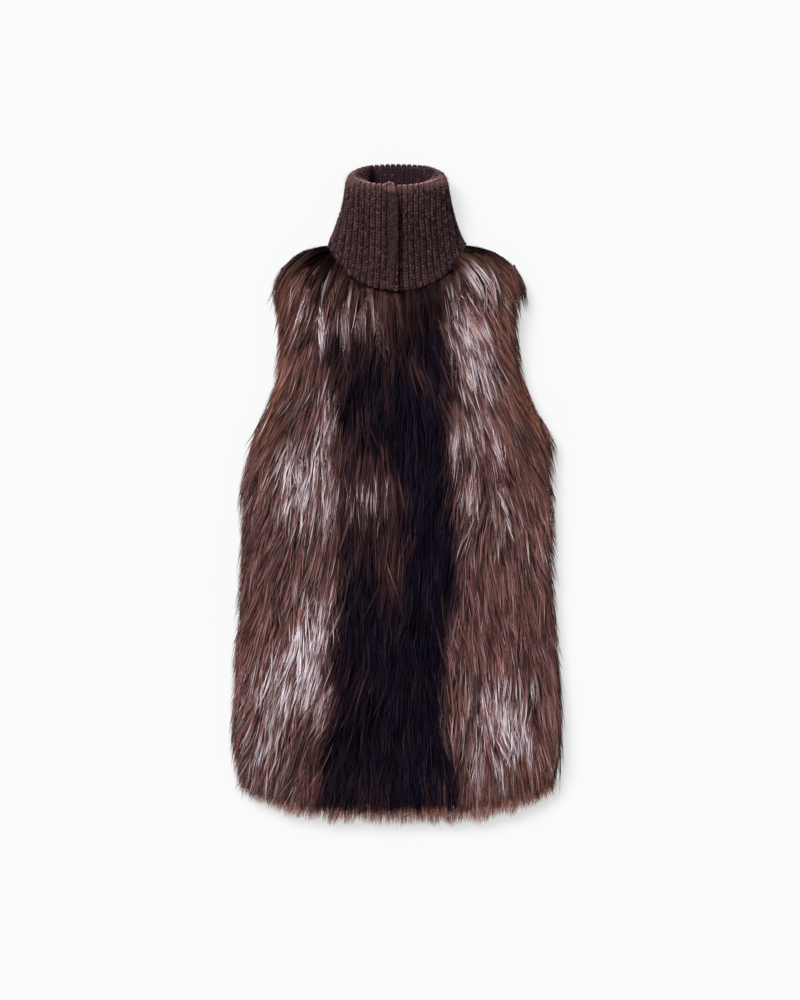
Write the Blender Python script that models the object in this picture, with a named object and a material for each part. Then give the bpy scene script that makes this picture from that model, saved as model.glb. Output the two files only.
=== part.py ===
"""Long-haired fur vest with a ribbed knit collar, laid flat on its back with the front up.

Metres, +Z up. The vest rests on z = 0, the collar points to +Y, and the wearer's left is at +X.
The origin lies on that surface, under the middle of the outline. Fur walls are as thick as their pile lies.
"""

import math
from collections import namedtuple

import bmesh
import bpy
import numpy as np

# Places along the vest on +Y, from a line near its middle; the finished outline is centred at the end
HEM_Y = -0.4635
NECK_POINT_Y = 0.3635
FRONT_NECK_DROP = 0.0695
BACK_NECK_DROP = 0.0260
NECK_HALF = 0.0990
NECK_ROUND = 1.8

# Hem and front opening
HEM_RISE = 0.048
HEM_POWER = 4.0
OPENING_AT_NECK = 0.004
OPENING_DRIFT = 0.030
OPENING_POWER = 1.6

# Gaps at a seam, and between panels that lie on each other
SEAM_GAP = 0.0003
LAYER_GAP = 0.0010

# Wall thicknesses, with the pile
BACK_WALL = 0.0135
BACK_EDGE = 0.0060
BACK_EDGE_LIFT = 0.0050
FRONT_WALL = 0.0225
FRONT_EDGE = 0.0062
OPENING_EDGE_SHARE = 0.72

# How far from each edge a wall takes to reach its full thickness
SIDE_ROLL = 0.048
HEM_ROLL = 0.060
SHOULDER_ROLL = 0.040
OPENING_ROLL = 0.016
UNDERSIDE_ROLL = 0.022

# The front neckline stands off the back where the collar holds it up
NECK_LIFT = 0.0180
NECK_LIFT_WIDE = 0.085
NECK_LIFT_LONG = 0.060

# Collar: a double strip of rib knit, closed at the front with a lap
COLLAR_WALL = 0.0050
RIB_HEIGHT = 0.0013
RIBS = 44
LAP_RIBS = 2.4
LAP_PAST_MIDDLE_RIBS = 0.4
LAP_CLEAR_RIBS = 0.5
LAP_EASE_RIBS = 3.5
BASE_HALF_WIDE = 0.0935
BASE_HALF_HIGH = 0.0130
RIM_HALF_WIDE = 0.0655
RIM_HALF_HIGH = 0.0310
RIM_Y = 0.4585
RIM_TILT = 0.0170
FLARE_POWER = 1.6
TUBE_ROUND = 2.25
TUBE_SINK = 0.0020
COLLAR_LEVELS = (0.0, 0.12, 0.30, 0.50, 0.66, 0.78, 0.88, 0.95, 0.985, 1.0)
RIB_PROFILE = (0.0, 0.7, 1.0, 0.7)

# The collar's rim is a soft roll, thick at both sides where the strip turns round
RIM_ROUND = 0.0016
SIDE_ROUND = 0.0058
SIDE_ROLL_THICK = 0.0130
SIDE_ROLL_FROM = 0.50
ROLL_LEVEL = 0.55
ROUND_LEVEL = 0.84

# Plain knit band on the lap, which drifts off the lap's edge towards the neck seam
BAND_THICK = 0.0020
BAND_RIBS_WIDE = 1.75
BAND_NECK_RIBS_WIDE = 1.15
BAND_NECK_DRIFT_RIBS = 0.75
BAND_FROM_EDGE_RIBS = 0.15
BAND_DRIFT_LEVEL = 0.55
BAND_LEVELS = (0.04, 0.12, 0.21, 0.30, 0.40, 0.50, 0.60, 0.70, 0.78, 0.86, 0.94)
BAND_GAP = 0.0006
BAND_COLUMNS = 6

# Furrows between the combed locks of the pile
LOCK_RISE = 0.0016
LOCKS_ACROSS_FRONT = 7.0
LOCK_WANDER = 0.16
LOCK_WANDER_LONG = 0.210

# Grid of each panel
FRONT_COLUMNS = 24
BACK_COLUMNS = 28
PANEL_ROWS = 28
EDGE_CROWDING = 0.55

# Steps along a worked-out edge and round the collar's outline, and the angle from which an edge is sharp
EDGE_STEPS = 40
OUTLINE_STEPS = 720
SHARP_EDGE_DEG = 50.0

# Half widths of the body up each side, from the rounded hem corner to the shoulder tip
SideStation = namedtuple("SideStation", "place y right left")
SIDE_STATIONS = (
    SideStation("hem corner", -0.4150, 0.2225, 0.2240),
    SideStation("low skirt", -0.3620, 0.2330, 0.2360),
    SideStation("skirt", -0.2950, 0.2340, 0.2360),
    SideStation("hip", -0.2100, 0.2285, 0.2290),
    SideStation("waist", -0.1080, 0.2230, 0.2240),
    SideStation("ribs", -0.0060, 0.2210, 0.2240),
    SideStation("underarm", 0.0620, 0.2130, 0.2240),
    SideStation("armhole foot", 0.0970, 0.2040, 0.2190),
    SideStation("low armhole", 0.1310, 0.1860, 0.1970),
    SideStation("armhole", 0.1820, 0.1720, 0.1780),
    SideStation("high armhole", 0.2330, 0.1700, 0.1760),
    SideStation("under tuft", 0.2680, 0.1740, 0.1770),
    SideStation("shoulder tip", 0.3000, 0.1790, 0.1860),
)

# Top of the shoulder, from the neck point out to the tip
ShoulderStation = namedtuple("ShoulderStation", "place y right left")
SHOULDER_STATIONS = (
    ShoulderStation("neck point", NECK_POINT_Y, NECK_HALF, NECK_HALF),
    ShoulderStation("crest", 0.3560, 0.1290, 0.1300),
    ShoulderStation("slope", 0.3370, 0.1570, 0.1610),
    ShoulderStation("round", 0.3190, 0.1720, 0.1780),
    ShoulderStation("shoulder tip", 0.3000, 0.1790, 0.1860),
)

# Largest swells and troughs of the fur on the fronts: middle, lean from +Y, half sizes and rise
FurSwell = namedtuple("FurSwell", "place x y lean half_long half_wide rise")
FUR_SWELLS = (
    FurSwell("right shoulder tuft", -0.138, 0.300, -38.0, 0.050, 0.026, 0.0065),
    FurSwell("left shoulder tuft", 0.146, 0.300, 40.0, 0.050, 0.026, 0.0070),
    FurSwell("right neck trough", -0.096, 0.285, -18.0, 0.055, 0.012, -0.0065),
    FurSwell("left neck trough", 0.096, 0.290, 16.0, 0.050, 0.012, -0.0055),
    FurSwell("right chest", -0.062, 0.235, -4.0, 0.070, 0.030, 0.0035),
    FurSwell("left chest", 0.108, 0.205, 8.0, 0.070, 0.028, 0.0040),
    FurSwell("right underarm", -0.176, 0.070, -24.0, 0.060, 0.024, 0.0040),
    FurSwell("left underarm", 0.188, 0.075, 24.0, 0.060, 0.024, 0.0045),
    FurSwell("right waist trough", -0.105, 0.010, -10.0, 0.100, 0.014, -0.0035),
    FurSwell("right hip", -0.128, -0.190, -14.0, 0.110, 0.036, 0.0045),
    FurSwell("left waist trough", 0.090, -0.030, 4.0, 0.120, 0.014, -0.0035),
    FurSwell("left hip", 0.165, -0.290, 9.0, 0.100, 0.034, 0.0045),
    FurSwell("right skirt trough", -0.078, -0.330, -8.0, 0.080, 0.014, -0.0035),
    FurSwell("left skirt trough", 0.108, -0.330, 6.0, 0.080, 0.014, -0.0030),
)

# Finish of each piece: colour, roughness
FUR_BROWN = ((0.105, 0.062, 0.055), 0.55)
FUR_DARK = ((0.085, 0.052, 0.050), 0.55)
KNIT_BROWN = ((0.048, 0.026, 0.029), 0.85)


def smooth_step(value):
    """Eased 0 to 1 for a value from 0 to 1."""
    share = min(max(value, 0.0), 1.0)
    return share * share * (3.0 - 2.0 * share)


def rolled(distance, reach):
    """Share of the full thickness at a distance in from a round edge."""
    share = min(max(distance / reach, 0.0), 1.0)
    return math.sqrt(1.0 - (1.0 - share) ** 2)


def through_stations(stations, column, y):
    """Smooth reading of one column of a table of stations at a height y, held level past its ends."""
    rows = sorted(stations, key=lambda row: row.y)
    ys = [row.y for row in rows]
    values = [getattr(row, column) for row in rows]
    if y <= ys[0]:
        return values[0]
    if y >= ys[-1]:
        return values[-1]
    slopes = np.gradient(values, ys)
    i = int(np.searchsorted(ys, y)) - 1
    span = ys[i + 1] - ys[i]
    t = (y - ys[i]) / span
    start = (1 + 2 * t) * (1 - t) ** 2 * values[i] + t * (1 - t) ** 2 * span * slopes[i]
    end = t * t * (3 - 2 * t) * values[i + 1] + t * t * (t - 1) * span * slopes[i + 1]
    return start + end


def side_name(side):
    """Column of the station tables for the +X or -X side."""
    return "left" if side > 0 else "right"


def outer_half(y, side):
    """Half width of the body at a height, on one side."""
    return through_stations(SIDE_STATIONS, side_name(side), y)


def hem_height(x):
    """Height of the hem at x: level in the middle, rounded up at both corners."""
    return HEM_Y + HEM_RISE * min(abs(x) / outer_half(HEM_Y, x), 1.0) ** HEM_POWER


def opening_x(y):
    """The front opening, which drifts to the wearer's left on its way down."""
    top = NECK_POINT_Y - FRONT_NECK_DROP
    down = min(max((top - y) / (top - HEM_Y), 0.0), 1.0)
    return OPENING_AT_NECK + OPENING_DRIFT * down**OPENING_POWER


def neckline_y(x, drop):
    """Height of a round neckline at x, up to the neck points."""
    share = min(abs(x) / NECK_HALF, 1.0)
    return NECK_POINT_Y - drop * (1.0 - share**NECK_ROUND) ** (1.0 / NECK_ROUND)


def top_edge(start_x, drop, side):
    """Points along the top of one half panel: its neckline from start_x out, then its shoulder."""
    edge = []
    for i in range(EDGE_STEPS + 1):
        turn = 0.5 * math.pi * i / EDGE_STEPS
        x = start_x + (side * NECK_HALF - start_x) * math.sin(turn)
        edge.append((x, neckline_y(x, drop)))
    tip = SHOULDER_STATIONS[-1].y
    for i in range(1, EDGE_STEPS + 1):
        y = NECK_POINT_Y + (tip - NECK_POINT_Y) * i / EDGE_STEPS
        edge.append((side * through_stations(SHOULDER_STATIONS, side_name(side), y), y))
    return edge


def half_panel_plan(start_x, drop, side):
    """Plan of a half panel: a function from (across, along), each 0 to 1, to x, y and depth below its top."""

    def across_of(x, y):
        return (x - start_x(y)) / (side * outer_half(y, side) - start_x(y))

    first_x = start_x(NECK_POINT_Y - drop)
    top = [(across_of(x, y), y) for x, y in top_edge(first_x, drop, side)]
    hem_xs = np.linspace(start_x(HEM_Y), side * outer_half(HEM_Y, side), EDGE_STEPS)
    hem = [(across_of(x, hem_height(x)), hem_height(x)) for x in hem_xs]

    def place(across, along):
        low = np.interp(across, *zip(*hem))
        high = np.interp(across, *zip(*top))
        y = low + (high - low) * along
        return start_x(y) + (side * outer_half(y, side) - start_x(y)) * across, y, high - y

    return place


def start_of_front(side):
    """The front's edge at the opening, half a seam gap off the opening's line, as a function of y."""
    return lambda y: opening_x(y) + 0.5 * SEAM_GAP * side


def start_of_back(y):
    """The back's middle line."""
    return 0.0


def front_plan(side):
    """Plan of one front."""
    return half_panel_plan(start_of_front(side), FRONT_NECK_DROP, side)


def back_plan(side):
    """Plan of one half of the back."""
    return half_panel_plan(start_of_back, BACK_NECK_DROP, side)


def crowded(count):
    """Shares 0 to 1 that lie closer together near both ends."""
    even = np.linspace(0.0, 1.0, count + 1)
    eased = 0.5 - 0.5 * np.cos(np.pi * even)
    return even + EDGE_CROWDING * (eased - even)


def back_columns():
    """Shares of the half widths across the back, from -1 at the right side to 1 at the left."""
    return 2.0 * crowded(BACK_COLUMNS) - 1.0


def edge_share(x, y, below_top):
    """Share of full thickness left by the rolls at the side, hem, and shoulder or neckline."""
    side = 1.0 if x >= 0 else -1.0
    at_side = rolled(outer_half(y, side) - abs(x), SIDE_ROLL)
    at_hem = rolled(y - hem_height(x), HEM_ROLL)
    at_top = rolled(below_top, SHOULDER_ROLL)
    return at_side * at_hem * at_top


def back_under(x, y, below_top):
    """Underside of the back: flat on the surface, rounded up at the rim."""
    side = 1.0 if x >= 0 else -1.0
    in_from_rim = min(outer_half(y, side) - abs(x), y - hem_height(x), below_top)
    return BACK_EDGE_LIFT * (1.0 - rolled(in_from_rim, UNDERSIDE_ROLL))


def back_over(x, y, below_top):
    """Upper, inner face of the back."""
    wall = BACK_EDGE + (BACK_WALL - BACK_EDGE) * edge_share(x, y, below_top)
    return back_under(x, y, below_top) + wall


def neck_lift(x, y):
    """How far the front stands off the back near the neckline."""
    down = max(NECK_POINT_Y - FRONT_NECK_DROP - y, 0.0)
    return NECK_LIFT * math.exp(-((x / NECK_LIFT_WIDE) ** 2) - (down / NECK_LIFT_LONG) ** 2)


def swell_rise(x, y):
    """Sum of the fur's swells and troughs at a point of a front."""
    rise = 0.0
    for swell in FUR_SWELLS:
        lean = math.radians(swell.lean)
        across = (x - swell.x) * math.cos(lean) + (y - swell.y) * math.sin(lean)
        along = (y - swell.y) * math.cos(lean) - (x - swell.x) * math.sin(lean)
        spread = (across / swell.half_wide) ** 2 + (along / swell.half_long) ** 2
        rise += swell.rise * math.exp(-spread)
    return rise


def front_under(x, y, below_top):
    """Inner face of a front, which lies on the back."""
    below_back_top = below_top + FRONT_NECK_DROP * max(1.0 - abs(x) / NECK_HALF, 0.0)
    return back_over(x, y, below_back_top) + LAYER_GAP + neck_lift(x, y)


def lock_rise(x, y):
    """Ridges and furrows of the combed locks, which run down the front and spread with its width."""
    side = 1.0 if x >= opening_x(y) else -1.0
    across = abs(x - opening_x(y)) / outer_half(y, side)
    wander = LOCK_WANDER * math.sin(2.0 * math.pi * (y / LOCK_WANDER_LONG + side * across))
    return LOCK_RISE * math.sin(2.0 * math.pi * (LOCKS_ACROSS_FRONT * across + wander))


def front_over(x, y, below_top):
    """Outer face of a front, with its pile."""
    share = edge_share(x, y, below_top)
    at_opening = rolled(abs(x - opening_x(y)), OPENING_ROLL)
    share *= OPENING_EDGE_SHARE + (1.0 - OPENING_EDGE_SHARE) * at_opening
    pile = (FRONT_WALL - FRONT_EDGE + swell_rise(x, y) + lock_rise(x, y)) * share
    return front_under(x, y, below_top) + FRONT_EDGE + pile


def finish_object(name, mesh, finish):
    """Turns a bmesh into a named object with outward faces, smooth shading and its own material."""
    bmesh.ops.recalc_face_normals(mesh, faces=mesh.faces)
    data = bpy.data.meshes.new(name)
    mesh.to_mesh(data)
    mesh.free()
    data.shade_smooth()
    data.set_sharp_from_angle(angle=math.radians(SHARP_EDGE_DEG))
    material = bpy.data.materials.new(name)
    material.use_nodes = True
    shader = material.node_tree.nodes["Principled BSDF"]
    shader.inputs["Base Color"].default_value = (*finish[0], 1.0)
    shader.inputs["Roughness"].default_value = finish[1]
    shader.inputs["Metallic"].default_value = 0.0
    data.materials.append(material)
    piece = bpy.data.objects.new(name, data)
    bpy.context.scene.collection.objects.link(piece)
    return piece


def wall_from_grids(name, upper, lower, finish):
    """Closed wall between two grids of points with the same rows and columns."""
    mesh = bmesh.new()
    over = [[mesh.verts.new(point) for point in row] for row in upper]
    under = [[mesh.verts.new(point) for point in row] for row in lower]
    rows, columns = len(over), len(over[0])
    for j in range(rows - 1):
        for i in range(columns - 1):
            mesh.faces.new((over[j][i], over[j][i + 1], over[j + 1][i + 1], over[j + 1][i]))
            mesh.faces.new((under[j][i], under[j + 1][i], under[j + 1][i + 1], under[j][i + 1]))
    rim = [(0, i) for i in range(columns - 1)]
    rim += [(j, columns - 1) for j in range(rows - 1)]
    rim += [(rows - 1, i) for i in range(columns - 1, 0, -1)]
    rim += [(j, 0) for j in range(rows - 1, 0, -1)]
    for (j, i), (next_j, next_i) in zip(rim, rim[1:] + rim[:1]):
        mesh.faces.new((over[j][i], under[j][i], under[next_j][next_i], over[next_j][next_i]))
    return finish_object(name, mesh, finish)


def neck_seam(plan, columns):
    """Points of a panel's top edge from the left neck point to the right one, which the collar meets."""
    edge = []
    for side in (-1, 1):
        place = plan(side)
        spots = [place(across, 1.0)[:2] for across in columns]
        edge += [spot for spot in spots if abs(spot[0]) < NECK_HALF]
        edge.append((side * NECK_HALF, NECK_POINT_Y))
    return tuple(zip(*sorted(edge)))


def build_front(name, side):
    """One front: from the opening to the side, and from the hem to the neckline and shoulder."""
    place = front_plan(side)
    upper, lower = [], []
    for along in crowded(PANEL_ROWS):
        spots = [place(across, along) for across in crowded(FRONT_COLUMNS)]
        upper.append([(x, y, front_over(x, y, below)) for x, y, below in spots])
        lower.append([(x, y, front_under(x, y, below)) for x, y, below in spots])
    return wall_from_grids(name, upper, lower, FUR_BROWN)


def build_back(name):
    """The back, in one piece from side to side, lying on the surface."""
    halves = {side: back_plan(side) for side in (-1, 1)}
    upper, lower = [], []
    for along in crowded(PANEL_ROWS):
        spots = []
        for share in back_columns():
            spots.append(halves[1 if share >= 0 else -1](abs(share), along))
        upper.append([(x, y, back_over(x, y, below)) for x, y, below in spots])
        lower.append([(x, y, back_under(x, y, below)) for x, y, below in spots])
    return wall_from_grids(name, upper, lower, FUR_DARK)


def tube_outline(half_wide, half_high):
    """One turn of the collar's inner outline from the front middle towards -X: arc shares and (x, z)."""
    turns = np.linspace(0.0, 2.0 * np.pi, OUTLINE_STEPS + 1) + 0.5 * np.pi
    power = 2.0 / TUBE_ROUND
    x = half_wide * np.sign(np.cos(turns)) * np.abs(np.cos(turns)) ** power
    z = half_high * np.sign(np.sin(turns)) * np.abs(np.sin(turns)) ** power
    run = np.concatenate([[0.0], np.cumsum(np.hypot(np.diff(x), np.diff(z)))])
    return run / run[-1], x, z


def collar_level(level):
    """Sizes of the collar's tube at a level, 0 at the neck seam to 1 at the rim."""
    flare = 1.0 - (1.0 - level) ** FLARE_POWER
    half_wide = BASE_HALF_WIDE + (RIM_HALF_WIDE - BASE_HALF_WIDE) * flare
    half_high = BASE_HALF_HIGH + (RIM_HALF_HIGH - BASE_HALF_HIGH) * smooth_step(level)
    return half_wide, half_high, tube_outline(half_wide, half_high)


def lap_offset(rib):
    """How far the strip stands off the tube where its lap lies over its other end."""
    eased = 1.0 - smooth_step((rib - LAP_RIBS - LAP_CLEAR_RIBS) / LAP_EASE_RIBS)
    return (COLLAR_WALL + RIB_HEIGHT + SEAM_GAP) * eased


def collar_point(seams, sizes, level, rib, out):
    """Point of the collar at a level, at a rib counted from the lap's edge, and out from its inner face."""
    half_wide, half_high, (shares, xs, zs) = sizes
    share = (rib - LAP_PAST_MIDDLE_RIBS) / (RIBS - LAP_RIBS) % 1.0
    x = float(np.interp(share, shares, xs))
    z = float(np.interp(share, shares, zs))
    slope_x = math.copysign((abs(x) / half_wide) ** (TUBE_ROUND - 1.0) / half_wide, x)
    slope_z = math.copysign((abs(z) / half_high) ** (TUBE_ROUND - 1.0) / half_high, z)
    steep = math.hypot(slope_x, slope_z)
    away = out + lap_offset(rib)
    tilt = z / half_high
    x += away * slope_x / steep
    z += away * slope_z / steep
    seam_y = float(np.interp(x, *seams["front" if tilt >= 0 else "back"])) + SEAM_GAP
    rim_y = RIM_Y - RIM_TILT * tilt
    lowest = COLLAR_WALL - out if out < COLLAR_WALL else 0.0
    rest = half_high + COLLAR_WALL - TUBE_SINK
    return x, seam_y + (rim_y - seam_y) * level, max(z + rest, lowest)


def side_share(sizes, rib):
    """How far a rib is round to one of the collar's sides: 0 at the front and back, 1 at a side."""
    half_wide, _, (shares, xs, _) = sizes
    share = (rib - LAP_PAST_MIDDLE_RIBS) / (RIBS - LAP_RIBS) % 1.0
    across = abs(float(np.interp(share, shares, xs))) / half_wide
    return smooth_step((across - SIDE_ROLL_FROM) / (1.0 - SIDE_ROLL_FROM))


def rim_tuck(level, side):
    """How far both faces of the collar are drawn in to round its rim, more at its sides."""
    past = min(max((level - ROUND_LEVEL) / (1.0 - ROUND_LEVEL), 0.0), 1.0)
    return (RIM_ROUND + SIDE_ROUND * side) * (1.0 - math.sqrt(1.0 - past**2))


def roll_thickness(level, side):
    """How much the rim's roll adds inside the collar."""
    return SIDE_ROLL_THICK * side * smooth_step((level - ROLL_LEVEL) / (ROUND_LEVEL - ROLL_LEVEL))


def build_collar(name, seams):
    """The rib knit strip: ribs raised on its outer face, a plain inside, and a lapped front."""
    mesh = bmesh.new()
    outer, inner = [], []
    fine = len(RIB_PROFILE)
    for level in COLLAR_LEVELS:
        sizes = collar_level(level)
        row = []
        for i in range(RIBS * fine + 1):
            tuck = rim_tuck(level, side_share(sizes, i / fine))
            out = COLLAR_WALL + RIB_HEIGHT * RIB_PROFILE[i % fine] - tuck
            row.append(mesh.verts.new(collar_point(seams, sizes, level, i / fine, out)))
        outer.append(row)
        row = []
        for rib in range(RIBS + 1):
            side = side_share(sizes, rib)
            out = rim_tuck(level, side) - roll_thickness(level, side)
            row.append(mesh.verts.new(collar_point(seams, sizes, level, rib, out)))
        inner.append(row)
    for low, high in zip(outer, outer[1:]):
        for i in range(RIBS * fine):
            mesh.faces.new((low[i], low[i + 1], high[i + 1], high[i]))
    for low, high in zip(inner, inner[1:]):
        for i in range(RIBS):
            mesh.faces.new((low[i], high[i], high[i + 1], low[i + 1]))
    for out_row, in_row in ((outer[0], inner[0]), (outer[-1], inner[-1])):
        for rib in range(RIBS):
            first = rib * fine
            middle = first + fine // 2
            for i in range(first, middle):
                mesh.faces.new((out_row[i], out_row[i + 1], in_row[rib]))
            mesh.faces.new((out_row[middle], in_row[rib + 1], in_row[rib]))
            for i in range(middle, first + fine):
                mesh.faces.new((out_row[i], out_row[i + 1], in_row[rib + 1]))
    for end in (0, -1):
        for j in range(len(COLLAR_LEVELS) - 1):
            mesh.faces.new((outer[j][end], outer[j + 1][end], inner[j + 1][end], inner[j][end]))
    return finish_object(name, mesh, KNIT_BROWN)


def build_collar_band(name, seams):
    """The plain knit band on the lap, laid on the ribs' tops."""
    upper, lower = [], []
    on_ribs = COLLAR_WALL + RIB_HEIGHT + BAND_GAP
    for level in BAND_LEVELS:
        sizes = collar_level(level)
        towards_neck = smooth_step((BAND_DRIFT_LEVEL - level) / BAND_DRIFT_LEVEL)
        first = BAND_FROM_EDGE_RIBS + BAND_NECK_DRIFT_RIBS * towards_neck
        wide = BAND_RIBS_WIDE + (BAND_NECK_RIBS_WIDE - BAND_RIBS_WIDE) * towards_neck
        ribs = [first + wide * i / BAND_COLUMNS for i in range(BAND_COLUMNS + 1)]
        for grid, out in ((upper, on_ribs + BAND_THICK), (lower, on_ribs)):
            grid.append([collar_point(seams, sizes, level, rib, out) for rib in ribs])
    return wall_from_grids(name, upper, lower, KNIT_BROWN)


def centre_outline(pieces):
    """Places the pieces so that the middle of their common outline, seen from above, is at the origin."""
    points = [point for piece in pieces for point in piece.bound_box]
    for axis in (0, 1):
        values = [point[axis] for point in points]
        for piece in pieces:
            piece.location[axis] = -0.5 * (min(values) + max(values))


def main():
    """Clears the scene and builds the vest's pieces."""
    for piece in list(bpy.data.objects):
        bpy.data.objects.remove(piece)
    seams = {
        "front": neck_seam(front_plan, crowded(FRONT_COLUMNS)),
        "back": neck_seam(back_plan, abs(back_columns())),
    }
    pieces = [
        build_back("back"),
        build_front("front_right", -1),
        build_front("front_left", 1),
        build_collar("collar", seams),
        build_collar_band("collar_band", seams),
    ]
    centre_outline(pieces)


main()
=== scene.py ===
"""Looks of a long-haired fur vest with a ribbed knit collar, laid flat on a pale surface.

Metres, +Z up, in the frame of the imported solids: the collar points to +Y and the wearer's left is at +X.
The fur is made of hair strands over woolly pelts, and the collar of yarn stitches over a knit wall.
"""

import logging
import math
from dataclasses import dataclass, field
from enum import Enum
from typing import ClassVar, NamedTuple

import bmesh
import bpy
import numpy as np
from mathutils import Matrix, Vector
from mathutils.bvhtree import BVHTree
from mathutils.kdtree import KDTree


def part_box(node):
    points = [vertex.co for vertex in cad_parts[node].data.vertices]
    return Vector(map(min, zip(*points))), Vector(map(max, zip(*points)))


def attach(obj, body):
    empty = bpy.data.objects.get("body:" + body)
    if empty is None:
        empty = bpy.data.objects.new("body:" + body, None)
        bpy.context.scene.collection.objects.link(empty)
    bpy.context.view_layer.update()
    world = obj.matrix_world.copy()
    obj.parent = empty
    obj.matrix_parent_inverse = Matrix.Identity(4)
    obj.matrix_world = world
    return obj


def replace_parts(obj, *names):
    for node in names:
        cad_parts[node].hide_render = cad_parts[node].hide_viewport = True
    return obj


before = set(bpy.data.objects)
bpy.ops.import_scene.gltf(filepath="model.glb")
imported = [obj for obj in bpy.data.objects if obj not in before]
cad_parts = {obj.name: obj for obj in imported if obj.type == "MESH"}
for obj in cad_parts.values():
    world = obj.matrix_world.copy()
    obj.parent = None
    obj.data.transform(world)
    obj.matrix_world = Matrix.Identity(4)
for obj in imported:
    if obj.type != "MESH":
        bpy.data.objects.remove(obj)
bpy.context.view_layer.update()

LOG = logging.getLogger("fur_vest")
Array = np.ndarray
Colour = tuple[float, float, float]
Span = tuple[float, float]
Piece = bpy.types.Object
Material = bpy.types.Material
Socket = bpy.types.NodeSocket

BODY = "root"
UV_MAP = "OFBake"
FLOOR_CLEARANCE = 0.0006
TINY = 1e-9
DOWN = Vector((0, 0, -1))
LEG_MARKS = (0.0, 0.2, 0.5, 0.8, 1.0)
WHITE = (1.0, 1.0, 1.0, 1.0)


class Side(Enum):
    """The wearer's two sides, as signs on X."""

    RIGHT = -1
    LEFT = 1

    @property
    def word(self) -> str:
        """The side's name in piece names."""
        return self.name.lower()


def ease(value: Array | float, low: float, high: float) -> Array:
    """Eased step of values, from 0 at low to 1 at high, which may be the lower of the two."""
    share = np.clip((np.asarray(value, float) - low) / (high - low), 0.0, 1.0)
    return share * share * (3.0 - 2.0 * share)


def unit(vectors: Array) -> Array:
    """Vectors along the last axis, scaled to length 1."""
    return vectors / np.maximum(np.linalg.norm(vectors, axis=-1, keepdims=True), TINY)


def shown(red: float, green: float, blue: float) -> Colour:
    """Linear colour of a display colour given from 0 to 255."""
    shares = [value / 255.0 for value in (red, green, blue)]
    return tuple(s / 12.92 if s <= 0.04045 else ((s + 0.055) / 1.055) ** 2.4 for s in shares)


def between(low: Array | float, high: Array | float, share: Array | float) -> Array:
    """Values a share of the way from low to high."""
    return low + (high - low) * share


def rimward(level: Array, start: float) -> Array:
    """Share of the way from a level of the collar to its rim, from 0 to 1."""
    return np.clip((level - start) / (1.0 - start), 0.0, 1.0)


def downward(turn: Array) -> Array:
    """Ways over the plane, turned from straight down towards +X."""
    return np.stack([np.sin(turn), -np.cos(turn)], axis=-1)


def beside(way: Array) -> Array:
    """Ways over the plane, turned a quarter to the left."""
    return np.stack([-way[..., 1], way[..., 0]], axis=-1)


def bilinear(grid: Array, i: Array, j: Array, fu: Array, fv: Array) -> Array:
    """Values between the points of a grid.

    Args:
        grid: The grid's values.
        i: Row below each place.
        j: Column below each place.
        fu: Share of the way to the next row.
        fv: Share of the way to the next column.

    Returns:
        The value at each place.
    """
    low = grid[i, j] * (1 - fu) + grid[i + 1, j] * fu
    high = grid[i, j + 1] * (1 - fu) + grid[i + 1, j + 1] * fu
    return low * (1 - fv) + high * fv


def flat_tree(spots: Array) -> KDTree:
    """Search tree of spots on the plane.

    Args:
        spots: The spots, n by 2.

    Returns:
        The tree, which gives the spots' numbers.
    """
    tree = KDTree(len(spots))
    for number, (x, y) in enumerate(spots):
        tree.insert((x, y, 0.0), number)
    tree.balance()
    return tree


class Mottle:
    """Seeded smooth noise over the plane, from -1 to 1."""

    LATTICE = 128
    START = (31.7, 17.3)

    def __init__(self, seed: int) -> None:
        """Draws the lattice of one seed."""
        values = np.random.default_rng(seed).uniform(-1.0, 1.0, (self.LATTICE, self.LATTICE))
        self.values = np.pad(values, (0, 1), mode="wrap")

    def at(self, x: Array, y: Array, size: float, stretch: float = 1.0) -> Array:
        """Noise at points.

        Args:
            x: Places across.
            y: Places along.
            size: Distance between the lattice's points across.
            stretch: How many times longer that distance is along.

        Returns:
            The noise at each point.
        """
        u = np.asarray(x) / size + self.START[0]
        v = np.asarray(y) / (size * stretch) + self.START[1]
        i, j = np.floor(u).astype(int), np.floor(v).astype(int)
        fu, fv = ease(u - i, 0.0, 1.0), ease(v - j, 0.0, 1.0)
        return bilinear(self.values, i % self.LATTICE, j % self.LATTICE, fu, fv)


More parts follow.
